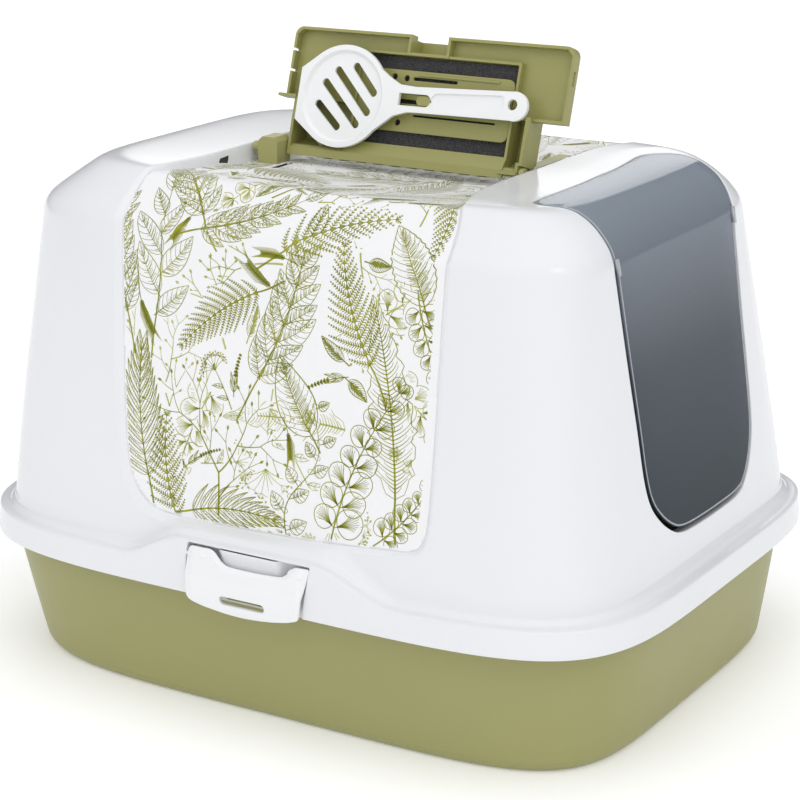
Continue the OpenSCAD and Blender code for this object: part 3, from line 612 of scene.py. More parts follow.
# ------------------------------------------------------------------ pan
PO = [[0, 120, 120, 90, 5.0, 4.2], [0, 251, 247.8, 184.6, 5.5, 4.6], [0.15, 253.6, 250.4, 187.0, 5.5, 4.6], [1.2, 256.4, 253.0, 189.6, 5.5, 4.6],
      [6.4, 260.2, 256.8, 193.2, 5.45, 4.6], [8.4, 261.1, 257.7, 194.1, 5.45, 4.6], [12, 261.8, 258.6, 194.8, 5.4, 4.6],
      [50, 267, 266.2, 199.9, 5.3, 4.7], [104, 274.4, 276.4, 207.2, 5, 4.8], [108.5, 275, 277.2, 207.9, 4.95, 4.8], [109.6, 275.8, 277.6, 209.6, 5.0, 4.7],
      [110, 277.4, 278.1, 214, 5.1, 4.5], [110.2, 278.4, 278.4, 216.4, 5.1, 4.5], [112, 279, 279, 217, 5.1, 4.5], [116.2, 279, 279, 217, 5.1, 4.5],
      [117.6, 278, 278, 216, 5.1, 4.5], [117.7, 276.5, 277, 211, 5.1, 4.5], [117.5, 274.5, 276, 207.5, 5.0, 4.7], [116, 272.8, 274.9, 205.6, 4.95, 4.8],
      [108, 271.8, 274.0, 204.8, 4.95, 4.8], [50, 264, 263.2, 196.9, 5.3, 4.7], [11, 258.8, 255.4, 191.8, 5.45, 4.6], [5.4, 255.2, 251.8, 188.2, 5.5, 4.6], [3.2, 250, 246.6, 183, 5.5, 4.6], [3, 238, 236, 174, 5.4, 4.5], [3, 120, 120, 90, 5.0, 4.2]]
pr = refine(chaikin(PO, 2), 6.0)
PP = ring_rows(pr, 480)
pan = M()
V = PP.reshape(-1, 3); Fp = [tuple(q) for q in gridfaces(len(pr), 480)]
n0 = len(V); V = np.vstack([V, [[0, 0, 0]], [[0, 0, 3]]])
Fp += [(n0, (j+1) % 480, j) for j in range(480)]
base = (len(pr)-1)*480
Fp += [(n0+1, base+j, base+(j+1) % 480) for j in range(480)]
pan.add(V, Fp)
PAN = pan.make("pan_shell", OLIVE, "pan", slot="olive_plastic", repl=("pan",))

# ------------------------------------------------------------------ door flap
def flap_gap(q): return 1.3+2.5*sstep((q-(qz(352)))/4.0)
Pf = hood_surface()
Nf = gridnormals(Pf)
fd = sd_door(Pf[..., 0], Pf[..., 1], Pf[..., 2])
qf = door_q(Pf[..., 0], Pf[..., 2])
cols = np.where((np.cos(tt) > 0.2))[0]
cols = np.concatenate([cols[cols > NC//2], cols[cols < NC//2]])
rows_ = np.where(ROWS[:, 0] > 137)[0]
def sel(a): return a[rows_][:, cols]
Pf, Nf, fd, qf = sel(Pf), sel(Nf), sel(fd), sel(qf)
Pf = Pf-Nf*1.0
ff = fd-flap_gap(qf)-7.0*np.exp(-((Pf[..., 0]-166)**2+(Pf[..., 1]+106)**2)/90.0)-3.2*np.exp(-((Pf[..., 0]-161)**2+(Pf[..., 1]-88)**2)/80.0)
flap = M()
Ff = gridfaces(len(rows_), len(cols), False)
Af = np.concatenate([Pf.reshape(-1, 3), Nf.reshape(-1, 3)], 1)
B, faces, loops = clip(Af, Ff, ff.ravel()-0.9)
for L, closed in loops: B, faces, _ = rim(B, faces, L, closed, B[L, 3:6], round_prof(0.9, 1.7, 3))
flap.add(B, faces)
A2 = Af.copy(); A2[:, :3] -= A2[:, 3:6]*2.6; A2[:, 3:6] *= -1
B, faces, loops = clip(A2, Ff[:, ::-1], ff.ravel()-0.9)
for L, closed in loops: B, faces, _ = rim(B, faces, L, closed, B[L, 3:6], round_prof(0.9, 0.9, 3))
flap.add(B, faces)
# bright cut edge of the acrylic, its paler colour a painted highlight, and the two small lugs beside the top
edge = M()
B, faces, loops = clip(Af, Ff, ff.ravel()-0.9)
def edge_rows(L, prof, w, h):
    Pq = B[L, :3]; T, Nn, D = loop_frames(Pq, B[L, 3:6], True)
    R_ = [Pq-D*w+Nn*h*0.3, Pq-D*w*0.6+Nn*h, Pq+D*0.25+Nn*h*0.6, Pq+D*0.5-Nn*0.4, Pq+D*0.6-Nn*1.2]
    return np.stack(R_)
for L, closed in loops:
    if len(L) < 60: continue
    G = edge_rows(L, None, 1.0, 0.10)
    edge.add(G.reshape(-1, 3), [f[::-1] for f in gridfaces(len(G), len(L))])
for sy_ in (-1, 1):
    lg = np.array([(-1.2, 357.2), (2.4, 357.6), (2.6, 346.4), (-0.6, 344.8)])
    yl = sy_*(98.6-lg[:, 0])
    for off, fl in ((0.4, False), (-1.4, True)):
        xo = np.interp(lg[:, 1], [340, 346, 354, 360], [237.8, 236.9, 235.7, 233.6])+off-0.4
        Vl = np.stack([xo, yl, lg[:, 1]], 1); f_ = [0, 1, 2, 3]
        if off > 0: V0 = Vl
        else:
            q_ = [(0, 1, 2, 3), (7, 6, 5, 4)]+[(k, k+4, (k+1) % 4+4, (k+1) % 4) for k in range(4)]
            if sy_ < 0: q_ = [t[::-1] for t in q_]
            edge.add(np.vstack([V0, Vl]), q_)
edge.make("door_panel_edge_painted_highlight", SMOKE_EDGE_PAINTED_HIGHLIGHT, "door", slot="smoke_plastic")
FLAP = flap.make("door_panel", SMOKE_PAINTED_LIGHT, "door", slot="smoke_plastic", repl=("door_flap",))

# ------------------------------------------------------------------ carried-over nodes
def cadcopy(node, material, width=0.4, seg=2, angle=35, name=None):
    src = bpy.data.objects.get(node) or [o for o in scene.objects if o.get("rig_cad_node") == node][0]
    me = src.data.copy(); me.name = (name or node+"_part")
    bm = bmesh.new(); bm.from_mesh(me)
    bmesh.ops.remove_doubles(bm, verts=bm.verts, dist=2e-6)
    bmesh.ops.dissolve_limit(bm, angle_limit=math.radians(1.0), verts=bm.verts, edges=bm.edges)
    for f in bm.faces: f.smooth = True
    for e in bm.edges:
        if len(e.link_faces) == 2: e.smooth = e.calc_face_angle(0) < math.radians(angle)
    bm.to_mesh(me); bm.free()
    me.materials.clear(); me.materials.append(material)
    o = bpy.data.objects.new(name or node+"_part", me); scene.collection.objects.link(o)
    if width:
        b = o.modifiers.new("bevel", "BEVEL"); b.limit_method = "ANGLE"; b.angle_limit = math.radians(angle); b.width = width*MM; b.segments = seg
        b.harden_normals = False; b.use_clamp_overlap = True
    body = [k for k, v in frame["record"]["behaviour"]["bodies"].items() if node in v][0]
    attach(o, body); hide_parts(node)
    return o
for nd in ("catch_near", "catch_far"): cadcopy(nd, OLIVE)
for nd in ("lid_tray", "filter_grate", "scoop_clip", "vent_grille"): cadcopy(nd, OLIVE2)
cadcopy("cradle", OLIVE3, 1.1, 3)
for nd in ("door_bracket_near", "door_bracket_far"): cadcopy(nd, WHITE2, 0.3)
def seg_dist(X, Y, pts):
    d = np.full(np.shape(X), 1e9)
    for (ax, ay), (bx, by) in zip(pts[:-1], pts[1:]): d = np.minimum(d, -sd_seg(X, Y, ax, ay, bx, by, 0.0))
    return d
_top = [(-23.0, 138.0), (-20.6, 137.2), (-17.6, 134.8), (-13.4, 131.0), (-10.2, 129.2), (-6.5, 128.3), (4, 127.9), (14.8, 127.9), (26, 128.3), (35.6, 128.8), (39.5, 129.6), (43.0, 132.2), (45.6, 135.6), (47.6, 137.2), (50.0, 138.0)]
_bot = [(-43.1, 103), (-42.5, 100.0), (-40.4, 97.8), (-34, 96.0), (-26.8, 94.2), (-12, 92.2), (-2.7, 91.4), (8, 91.2), (15, 91.7), (24, 92.6), (32.8, 93.8), (45.9, 96.6), (52.6, 98.8), (54.8, 100.0), (55.4, 102.0)]
LATCH = np.array(_bot+[(57, 115), (60, 131), (61.2, 136.2), (60.4, 138.0)]+_top[::-1]+[(-39.5, 137.8), (-41.6, 136.8), (-42.8, 134), (-43.2, 128)])
def lathe(m, axis_pts, radii, cy, cz, n=24):
    a = np.linspace(0, 2*np.pi, n, endpoint=False)
    G = np.stack([np.stack([np.full(n, x), cy+r*np.cos(a), cz+r*np.sin(a)], 1) for x, r in zip(axis_pts, radii)])
    m.add(G.reshape(-1, 3), gridfaces(len(axis_pts), n))
for sy, nm_ in ((-1, "near"), (1, "far")):
    def lsurf(U, W_):
        pr_ = np.interp(W_, [90, 92.5, 96, 102, 108, 114, 117.5, 121, 124, 130, 138.5], [226.4, 227.6, 228.6, 229.2, 229.45, 229.3, 228.9, 227.9, 227.0, 225.5, 223.6])
        for o_ in (0,): pass
        lip = np.clip(1-seg_dist(U, W_, _top)/4.4, 0, 1)**2*1.9*sstep((U+24)/4)*(1-sstep((U-48)/4))
        cor = 1.1*sstep((np.abs(U-8)-44)/8)
        return np.stack([U, sy*(pr_-lip-cor), W_], -1)
    def lf(U, W_):
        return np.minimum(sd_poly(U, W_, LATCH), -sd_seg(U, W_, -9.2, 102.7, 23.2, 102.7, 3.1))
    lm = plate(lsurf, lf, -46, 64, 89, 140, 0.8, 0.9, 3.2, flip=(sy > 0))
    for x0_, x1_ in ((-42.5, -24.5), (44.0, 56.5)):
        lathe(lm, [x0_, x0_, x0_+0.8, x1_-0.8, x1_, x1_], [0.01, 3.3, 4.0, 4.0, 3.3, 0.01], sy*221.5, 131)
    lm.make("latch_shell_"+nm_, WHITE2, "clip_"+nm_, slot="white_plastic", repl=("latch_"+nm_,))
for sy, nm_ in ((-1, "near"), (1, "far")):
    pm = M()
    for x0_, x1_ in ((-45.8, -24.0), (43.6, 58.6)):
        lathe(pm, [x0_, x0_, x0_+0.4, x1_-0.4, x1_, x1_], [0.01, 1.2, 1.6, 1.6, 1.2, 0.01], sy*221.5, 131)
    pm.make("latch_pins_"+nm_, WHITE2, "hood", slot="white_plastic", repl=("latch_rod_"+nm_,))
for nd in ("door_pin_near", "door_pin_far"): cadcopy(nd, SMOKE_PAINTED_LIGHT, 0.3)
cadcopy("lid_rod", STEEL, 0.2); cadcopy("filter_pad", FELT, 0.5)
cadcopy("scoop", SCOOPW, 0.5, 3)
# painted shade: a dark lining in the lid catch slot stands in for the shade inside it
_V = []
for g, d in ((0.56, 0.0), (0.62, 0.4), (0.7, 3.0), (0.9, 7.8), (1.8, 9.0)):
    x0_, x1_, y0_, y1_ = -88+g, -81.5-g, -44+g, -17-g
    for a in np.linspace(0, 2*np.pi, 40, endpoint=False):
        c_, s_ = math.cos(a), math.sin(a); k = 0.6
        _V.append(((x0_+x1_)/2+math.copysign(abs(c_)**0.2, c_)*(x1_-x0_)/2, (y0_+y1_)/2+math.copysign(abs(s_)**0.2, s_)*(y1_-y0_)/2, 377.8-d))
make("catch_slot_painted_shade", np.array(_V), [tuple(int(x) for x in f) for f in gridfaces(5, 40)]+[tuple(range(160, 200))], DARK_PAINTED_SHADE, "hood", slot="white_plastic", smooth=False)
# painted shade: a dark patch laid just proud of the channel's side wall stands in for the shade at the back of the
# pocket
POCKET_PAINTED_SHADE = np.array([(-57.2, 387.0), (-68.2, 386.4), (-70.6, 383.9), (-59.9, 382.0)])
_bvh = BVHTree.FromPolygons(np.concatenate(hood.V).tolist(), hood.F)
_Y, _Zg = np.meshgrid(np.linspace(-73, -55, 37), np.linspace(380.5, 388.5, 21))
_X = np.full(_Y.shape, -116.0)
for _i in range(_Y.shape[0]):
    for _j in range(_Y.shape[1]):
        h = _bvh.ray_cast(Vector((-100.0, float(_Y[_i, _j]), float(_Zg[_i, _j]))), Vector((-1, 0, 0)))
        if h[0] is not None: _X[_i, _j] = h[0].x
_G = np.stack([_X+0.14, _Y, _Zg], -1)
_B, _f, _l = clip(np.concatenate([_G.reshape(-1, 3), np.tile((1.0, 0, 0), (_Y.size, 1))], 1), gridfaces(21, 37, False), sd_poly(_Y, _Zg, POCKET_PAINTED_SHADE).ravel())
for L, closed in _l: _B, _f, _ = rim(_B, _f, L, closed, _B[L, 3:6], [(0.12, -0.05), (0.3, -0.3)])
_pm = M(); _pm.add(_B, _f); _pm.make("side_pocket_painted_shade", DARK_PAINTED_SHADE, "hood", slot="white_plastic")
# ------------------------------------------------------------------ printed film: generic line-drawn plants
rng = np.random.default_rng(41)
class Ink:
    def __init__(s): s.st = []; s.mk = []
    def line(s, p, w): s.st.append((np.asarray(p, float), np.asarray(w, float)*np.ones(len(p))))
    def mask(s, p): s.mk.append(np.asarray(p, float))
    def pack(s):
        s.T = np.concatenate(s.mk+[p[::3] for p, w in s.st]); s.P = np.concatenate([p for p, w in s.st])
        s.W = np.concatenate([w for p, w in s.st]); s.N = np.array([len(p) for p, w in s.st])
        s.K = np.concatenate(s.mk)
def bez(a, b, c, n):
    t = np.linspace(0, 1, n)[:, None]; a, b, c = map(np.asarray, (a, b, c))
    return (1-t)**2*a+2*t*(1-t)*b+t*t*c
def lens(n, w, e=0.10): return e+(w-e)*np.sin(np.pi*np.linspace(0, 1, n))**0.8
def rot(p, a, o=(0, 0)):
    c, s = math.cos(a), math.sin(a); p = np.asarray(p, float)
    return np.stack([p[:, 0]*c-p[:, 1]*s+o[0], p[:, 0]*s+p[:, 1]*c+o[1]], 1)
def spine(L, bend, n, p=2.0):
    t = np.linspace(0, 1, n)
    c = np.stack([bend*L*t**p, L*t*(1-0.12*abs(bend))], 1)
    d = np.gradient(c, axis=0); d /= np.linalg.norm(d, axis=1, keepdims=True)
    return t, c, np.stack([d[:, 1], -d[:, 0]], 1), d
def leaf(I, L, W, bend=0.1, nv=8, hatch=22, serr=0.0, ow=0.55, mid=0.75, stem=0.2, o=(0, 0), a=0.0, peak=0.75, hw=0.24, dark=0.5):
    n = 26; t, c, nm, d = spine(L, bend, n)
    h = W*np.sin(np.pi*t**peak)**0.85*(1-0.12*t)
    wob = 1+serr*np.where(np.arange(n) % 2 == 0, 1, -1)*np.sin(np.pi*t)
    T = lambda p: rot(p, a, o)
    for sg in (-1, 1):
        e = c+nm*(h*wob*sg)[:, None]
        I.line(T(e), ow*(0.55+0.45*np.sin(np.pi*t)*(1.15 if sg > 0 else 0.85)))
    st = np.vstack([bez((-bend*L*0.1, -stem*L), (0, -stem*L*0.4), (0, 0), 6)[:-1], c])
    I.line(T(st), np.linspace(mid, 0.22, len(st)))
    at = lambda u, f: np.array([np.interp(u, t, c[:, 0])+np.interp(u, t, nm[:, 0])*np.interp(u, t, h)*f, np.interp(u, t, c[:, 1])+np.interp(u, t, nm[:, 1])*np.interp(u, t, h)*f])
    for k in range(nv):
        u0 = 0.06+0.80*k/nv; u1 = min(u0+0.17, 0.985)
        for sg in (-1, 1):
            I.line(T(bez(at(u0, 0), at(u0+0.06, 0.55*sg), at(u1, 0.93*sg), 6)), np.linspace(0.36, 0.18, 6))
    for k in range(hatch):
        u0 = 0.05+0.86*(k+rng.uniform(-0.3, 0.3))/hatch; u1 = min(u0+0.12, 0.985)
        r0, r1 = rng.uniform(0.02, 0.1), rng.uniform(0.4, 0.78)
        I.line(T(bez(at(u0, r0), at(u0+0.04, (r0+r1)/2), at(u0+(u1-u0)*r1, r1), 4)), np.linspace(hw*1.5, hw*0.5, 4))
        if rng.uniform() < dark:
            r1 = rng.uniform(0.2, 0.42)
            I.line(T(bez(at(u0, -0.03), at(u0+0.02, -r1*0.5), at(u0+0.12*r1, -r1), 3)), np.linspace(hw*1.4, hw*0.5, 3))
    f = np.linspace(-1, 1, 7)
    I.mask(T(np.concatenate([c[::2]+nm[::2]*(h[::2]*k)[:, None] for k in f])))
def fern(L=120, PL=38, npn=17, bend=0.15, q=3.4, a0=62):
    I = Ink(); t, c, nm, d = spine(L, bend, 30)
    st = np.vstack([bez((bend*-8, -L*0.28), (-1, -L*0.1), (0, 0), 7)[:-1], c]); I.line(st, np.linspace(1.1, 0.3, len(st)))
    for i in range(npn):
        u = 0.02+0.93*(i/(npn-1))**0.92
        pl = PL*(1-u)**0.72*(0.45+0.55*min(1, u/0.16))+1.5
        o = np.array([np.interp(u, t, c[:, k]) for k in (0, 1)]); dv = np.array([np.interp(u, t, d[:, k]) for k in (0, 1)])
        base = math.atan2(dv[1], dv[0])
        for sg in (-1, 1):
            an = math.radians(a0-22*u+rng.uniform(-3, 3))*sg
            e0 = np.array([math.cos(base+an), math.sin(base+an)]); up = np.array([math.cos(base), math.sin(base)])
            m = 12; tt_ = np.linspace(0, 1, m)[:, None]
            cp = o+e0*pl*tt_+up*(pl*0.20*tt_**2)
            I.line(cp, np.linspace(0.55, 0.22, m))
            k = max(3, int(pl/1.9))
            for j in range(k):
                v = (j+0.6)/k; p = np.array([np.interp(v, tt_[:, 0], cp[:, z]) for z in (0, 1)])
                g = e0+up*0.40*v; g /= np.linalg.norm(g); gb = math.atan2(g[1], g[0])
                ql = q*(1-v)**0.55*(0.7+0.3*min(1, pl/PL))*min(1, 0.6+pl/30)+0.5
                for s2 in (-1, 1):
                    b = gb+s2*math.radians(58-18*v)
                    tip = p+np.array([math.cos(b), math.sin(b)])*ql
                    I.line(bez(p, p+(tip-p)*0.5+g*0.25, tip, 4), [0.34, 0.80, 0.62, 0.12] if s2*sg < 0 else [0.26, 0.55, 0.42, 0.10])
            I.mask(cp[::2])
    return I
def sprig(L=110, n=7, LL=34, LW=8.5, bend=0.2, opp=True, hatch=16, nv=6, up=48, serr=0.0):
    I = Ink(); t, c, nm, d = spine(L, bend, 24)
    st = np.vstack([bez((bend*-10, -L*0.3), (0, -L*0.12), (0, 0), 7)[:-1], c]); I.line(st, np.linspace(1.0, 0.35, len(st)))
    for i in range(n):
        u = 0.04+0.9*i/n
        for sg in ((-1, 1) if opp else ((-1,) if i % 2 else (1,))):
            uu = u+(0 if opp else 0.0)
            o = np.array([np.interp(uu, t, c[:, k]) for k in (0, 1)]); dv = np.array([np.interp(uu, t, d[:, k]) for k in (0, 1)])
            base = math.atan2(dv[1], dv[0])-math.pi/2
            sc = (0.62+0.38*math.sin(math.pi*min(1, 0.25+u)))*rng.uniform(0.9, 1.08)
            leaf(I, LL*sc, LW*sc, bend=-0.16*sg*rng.uniform(0.3, 1.3), nv=nv, hatch=hatch, stem=0.08, o=o, a=base-sg*math.radians(up-14*u+rng.uniform(-5, 5)), ow=0.46, mid=0.5, serr=serr)
    o = c[-1]; leaf(I, LL*0.8, LW*0.8, bend=0.05, nv=nv, hatch=hatch, stem=0.02, o=o, a=math.atan2(d[-1][1], d[-1][0])-math.pi/2, ow=0.46, mid=0.5)
    return I
def umbel(L=70, n=11, R=24, m=6):
    I = Ink(); b = rng.uniform(-0.25, 0.25); t, c, nm, d = spine(L, b, 14)
    I.line(c, np.linspace(0.8, 0.4, 14)); o = c[-1]; base = math.atan2(d[-1][1], d[-1][0])
    for i in range(n):
        an = base+math.radians(-72+144*i/(n-1)); R_ = R*rng.uniform(0.85, 1.1)
        e = o+np.array([math.cos(an), math.sin(an)])*R_
        I.line(bez(o, o+(e-o)*0.5+np.array([math.cos(base), math.sin(base)])*2.5, e, 6), np.linspace(0.4, 0.22, 6))
        for j in range(m):
            a2 = an+math.radians(-75+150*j/(m-1)); r2 = rng.uniform(3.2, 5.2)
            p = e+np.array([math.cos(a2), math.sin(a2)])*r2
            I.line(np.array([e, p]), [0.2, 0.2]); q = np.array([math.cos(a2), math.sin(a2)])
            I.line(np.array([p-q*0.3, p+q*0.5, p+q*1.5]), [0.4, 1.25, 0.3])
        I.mask(np.array([o+(e-o)*k for k in (0.3, 0.6, 0.9, 1.15)]))
    for s2 in (0.25, 0.55):
        o2 = np.array([np.interp(s2, t, c[:, k]) for k in (0, 1)])
        leaf(I, 15, 2.6, bend=0.3, nv=3, hatch=5, stem=0.05, o=o2, a=rng.choice([-1, 1])*0.8, ow=0.36, mid=0.4)
    return I
def twig(L=95, depth=4):
    I = Ink()
    def grow(p, a, l, w, k):
        b = rng.uniform(-0.35, 0.35); e = p+np.array([math.cos(a+b*0.5), math.sin(a+b*0.5)])*l
        m = p+(e-p)*0.5+np.array([-math.sin(a), math.cos(a)])*l*b*0.35
        pts = bez(p, m, e, 7); I.line(pts, np.linspace(w, w*0.72, 7)); I.mask(pts[::2])
        if k == 0:
            q = np.array([math.cos(a+b), math.sin(a+b)])
            I.line(np.array([e-q*0.4, e+q*0.9, e+q*2.4]), [0.4, 1.5, 0.2]); return
        for sgn in (-1, 1):
            grow(e, a+b+sgn*rng.uniform(0.28, 0.62), l*rng.uniform(0.66, 0.86), w*0.74, k-1)
        if rng.uniform() < 0.6:
            mid = pts[3]; grow(mid, a+rng.choice([-1, 1])*rng.uniform(0.6, 0.95), l*0.5, w*0.55, max(0, k-2))
    grow(np.array([0.0, 0.0]), math.pi/2, L*0.3, 1.1, depth)
    return I
def palm(L=105, n=13, LL=42, bend=0.2):
    I = Ink(); t, c, nm, d = spine(L, bend, 24)
    st = np.vstack([bez((bend*-8, -L*0.25), (0, -L*0.1), (0, 0), 6)[:-1], c]); I.line(st, np.linspace(1.2, 0.4, len(st)))
    for i in range(n):
        u = 0.03+0.94*i/(n-1); o = np.array([np.interp(u, t, c[:, k]) for k in (0, 1)]); dv = np.array([np.interp(u, t, d[:, k]) for k in (0, 1)])
        base = math.atan2(dv[1], dv[0])-math.pi/2
        l = LL*(0.55+0.45*math.sin(math.pi*min(1, 0.2+u*0.8)))*(1-0.35*u)
        for sg in (-1, 1):
            leaf(I, l, 2.7, bend=-0.22*sg, nv=0, hatch=13, stem=0.02, o=o, a=base-sg*math.radians(58-34*u), ow=0.5, mid=0.42, peak=0.62, hw=0.26, dark=0.0)
    return I
def longleaf(L=135, W=17, bend=0.12, n=46):
    I = Ink(); t, c, nm, d = spine(L, bend, 40)
    h = W*np.sin(np.pi*t**0.7)**0.7*(1-0.2*t)
    rag = 1+0.13*np.sin(t*61)+0.08*np.sin(t*97+1)
    for sg in (-1, 1):
        I.line(c+nm*(h*rag*sg)[:, None], 0.5*(0.6+0.4*np.sin(np.pi*t)))
    st = np.vstack([bez((0, -L*0.22), (1, -L*0.1), (0, 0), 6)[:-1], c]); I.line(st, np.linspace(1.25, 0.35, len(st)))
    for k in range(n):
        u = 0.03+0.92*k/n
        for sg in (-1, 1):
            A_ = lambda v, f: np.array([np.interp(v, t, c[:, z])+np.interp(v, t, nm[:, z])*np.interp(v, t, h)*f for z in (0, 1)])
            u1 = min(u+0.07, 0.99); r = rng.uniform(0.82, 1.02) if k % 3 else rng.uniform(0.5, 0.7)
            I.line(bez(A_(u, 0), A_(u+0.015, 0.5*sg), A_(u+(u1-u)*r, r*sg), 7), np.linspace(0.62, 0.24, 7)*(1.0 if k % 2 else 0.7))
    f = np.linspace(-1, 1, 7); I.mask(np.concatenate([c[::2]+nm[::2]*(h[::2]*k)[:, None] for k in f]))
    return I
def roundleaf(L=100, n=8, R=8.5, bend=0.25):
    I = Ink(); t, c, nm, d = spine(L, bend, 20)
    I.line(c, np.linspace(0.9, 0.35, 20))
    for i in range(n):
        u = 0.12+0.86*i/(n-1)
        for sg in (-1, 1):
            o = np.array([np.interp(u, t, c[:, k]) for k in (0, 1)]); dv = np.array([np.interp(u, t, d[:, k]) for k in (0, 1)])
            r = R*(1-0.5*u)*rng.uniform(0.85, 1.1); base = math.atan2(dv[1], dv[0])-sg*math.radians(62-25*u)
            g = np.array([math.cos(base), math.sin(base)]); ce = o+g*(r*1.25)
            a_ = np.linspace(0, 2*np.pi, 19)+base+math.pi
            I.line(ce+np.stack([np.cos(a_), np.sin(a_)], 1)*r*(1+0.04*np.sin(3*a_))[:, None], 0.42)
            I.line(np.array([o, ce-g*r]), [0.4, 0.35])
            for k in range(11):
                an = base+math.pi+math.radians(0)+0; fa = base+math.radians(-70+140*k/10)
                e = ce+np.array([math.cos(fa), math.sin(fa)])*r*rng.uniform(0.55, 0.92)
                I.line(bez(ce-g*r, ce-g*r*0.2+(e-ce)*0.3, e, 5), np.linspace(0.38, 0.14, 5))
            I.mask(ce+np.stack([np.cos(a_), np.sin(a_)], 1)*r); I.mask(ce+np.stack([np.cos(a_), np.sin(a_)], 1)*r*0.4)
    return I
def wheat(L=85, n=13):
    I = Ink(); b = rng.uniform(-0.3, 0.3); t, c, nm, d = spine(L, b, 20); I.line(c, np.linspace(0.75, 0.35, 20))
    for i in range(n):
        u = 0.42+0.57*i/(n-1); o = np.array([np.interp(u, t, c[:, k]) for k in (0, 1)]); base = math.atan2(np.interp(u, t, d[:, 1]), np.interp(u, t, d[:, 0]))-math.pi/2
        for sg in (-1, 1):
            leaf(I, 7.5, 2.0, bend=-0.1*sg, nv=2, hatch=5, stem=0.0, o=o, a=base-sg*math.radians(30), ow=0.42, mid=0.35, hw=0.3)
            e = o+rot([(0, 24)], base-sg*math.radians(20))[0]; I.line(bez(o+rot([(0, 7)], base-sg*math.radians(30))[0], o+(e-o)*0.6, e, 4), np.linspace(0.26, 0.1, 4))
    return I
def lavender(L=80, n=8):
    I = Ink(); b = rng.uniform(-0.3, 0.3); t, c, nm, d = spine(L, b, 18); I.line(c, np.linspace(0.7, 0.35, 18))
    for i in range(n):
        u = 0.5+0.49*i/(n-1); o = np.array([np.interp(u, t, c[:, k]) for k in (0, 1)]); base = math.atan2(np.interp(u, t, d[:, 1]), np.interp(u, t, d[:, 0]))
        for an in (-85, -55, -25, 0, 25, 55, 85):
            q = np.array([math.cos(base+math.radians(an)), math.sin(base+math.radians(an))]); r = 4.2*(1-0.4*(i/n))
            I.line(bez(o, o+q*r*0.6, o+q*r, 4), [0.3, 1.0, 1.1, 0.2])
        I.mask(o[None])
    for s2 in (0.12, 0.3):
        o2 = np.array([np.interp(s2, t, c[:, k]) for k in (0, 1)])
        for sg in (-1, 1): leaf(I, 20, 2.2, bend=-0.2*sg, nv=0, hatch=7, stem=0.02, o=o2, a=-sg*0.5, ow=0.36, mid=0.35)
    return I
def daisy(R=11, L=45):
    I = Ink(); b = rng.uniform(-0.3, 0.3); t, c, nm, d = spine(L, b, 12); I.line(c, np.linspace(0.7, 0.45, 12)); o = c[-1]
    for i in range(11):
        leaf(I, R, 2.3, bend=0.0, nv=0, hatch=4, stem=0, o=o+rot([(0, 2.6)], i*2*math.pi/11)[0], a=i*2*math.pi/11, ow=0.36, mid=0.2, peak=1.15, hw=0.2, dark=0.2)
    for r in (0.6, 1.5, 2.4):
        for k in range(int(r*5)+2):
            a_ = 2*math.pi*k/(int(r*5)+2); p = o+np.array([math.cos(a_), math.sin(a_)])*r; I.line(np.array([p-(0.25, 0), p, p+(0.25, 0)]), [0.3, 0.6, 0.3])
    o2 = c[4]; leaf(I, 17, 4.2, bend=0.2, nv=4, hatch=9, stem=0.05, o=o2, a=-0.8, ow=0.4, mid=0.4); leaf(I, 14, 3.6, bend=-0.2, nv=4, hatch=8, stem=0.05, o=c[2], a=0.9, ow=0.4, mid=0.4)
    return I
def single(L=58, W=15, serr=0.0, nv=9):
    I = Ink(); leaf(I, L, W, bend=rng.uniform(-0.2, 0.2), nv=nv, hatch=46, stem=0.22, ow=0.7, mid=1.0, serr=serr, hw=0.26, dark=0.7); return I
def vine(L=95, n=9):
    I = Ink(); t = np.linspace(0, 1, 34); c = np.stack([7*np.sin(t*2.4*math.pi), L*t], 1); I.line(c, np.linspace(0.7, 0.3, 34))
    for i in range(n):
        u = (i+0.5)/n; o = np.array([np.interp(u, t, c[:, k]) for k in (0, 1)]); sg = 1 if i % 2 else -1
        leaf(I, 15*(1-0.4*u), 5.6*(1-0.4*u), bend=-0.15*sg, nv=4, hatch=10, stem=0.25, o=o+np.array([sg*3.0, 1.5]), a=-sg*1.0, ow=0.42, mid=0.42)
        th = np.linspace(0, 4.2, 12); I.line(o+np.stack([-sg*(1.0+2.6*(1-np.exp(-th)))*np.cos(th)-0*th, 2.2*np.sin(th)+th*0.7], 1), np.linspace(0.3, 0.14, 12))
    return I

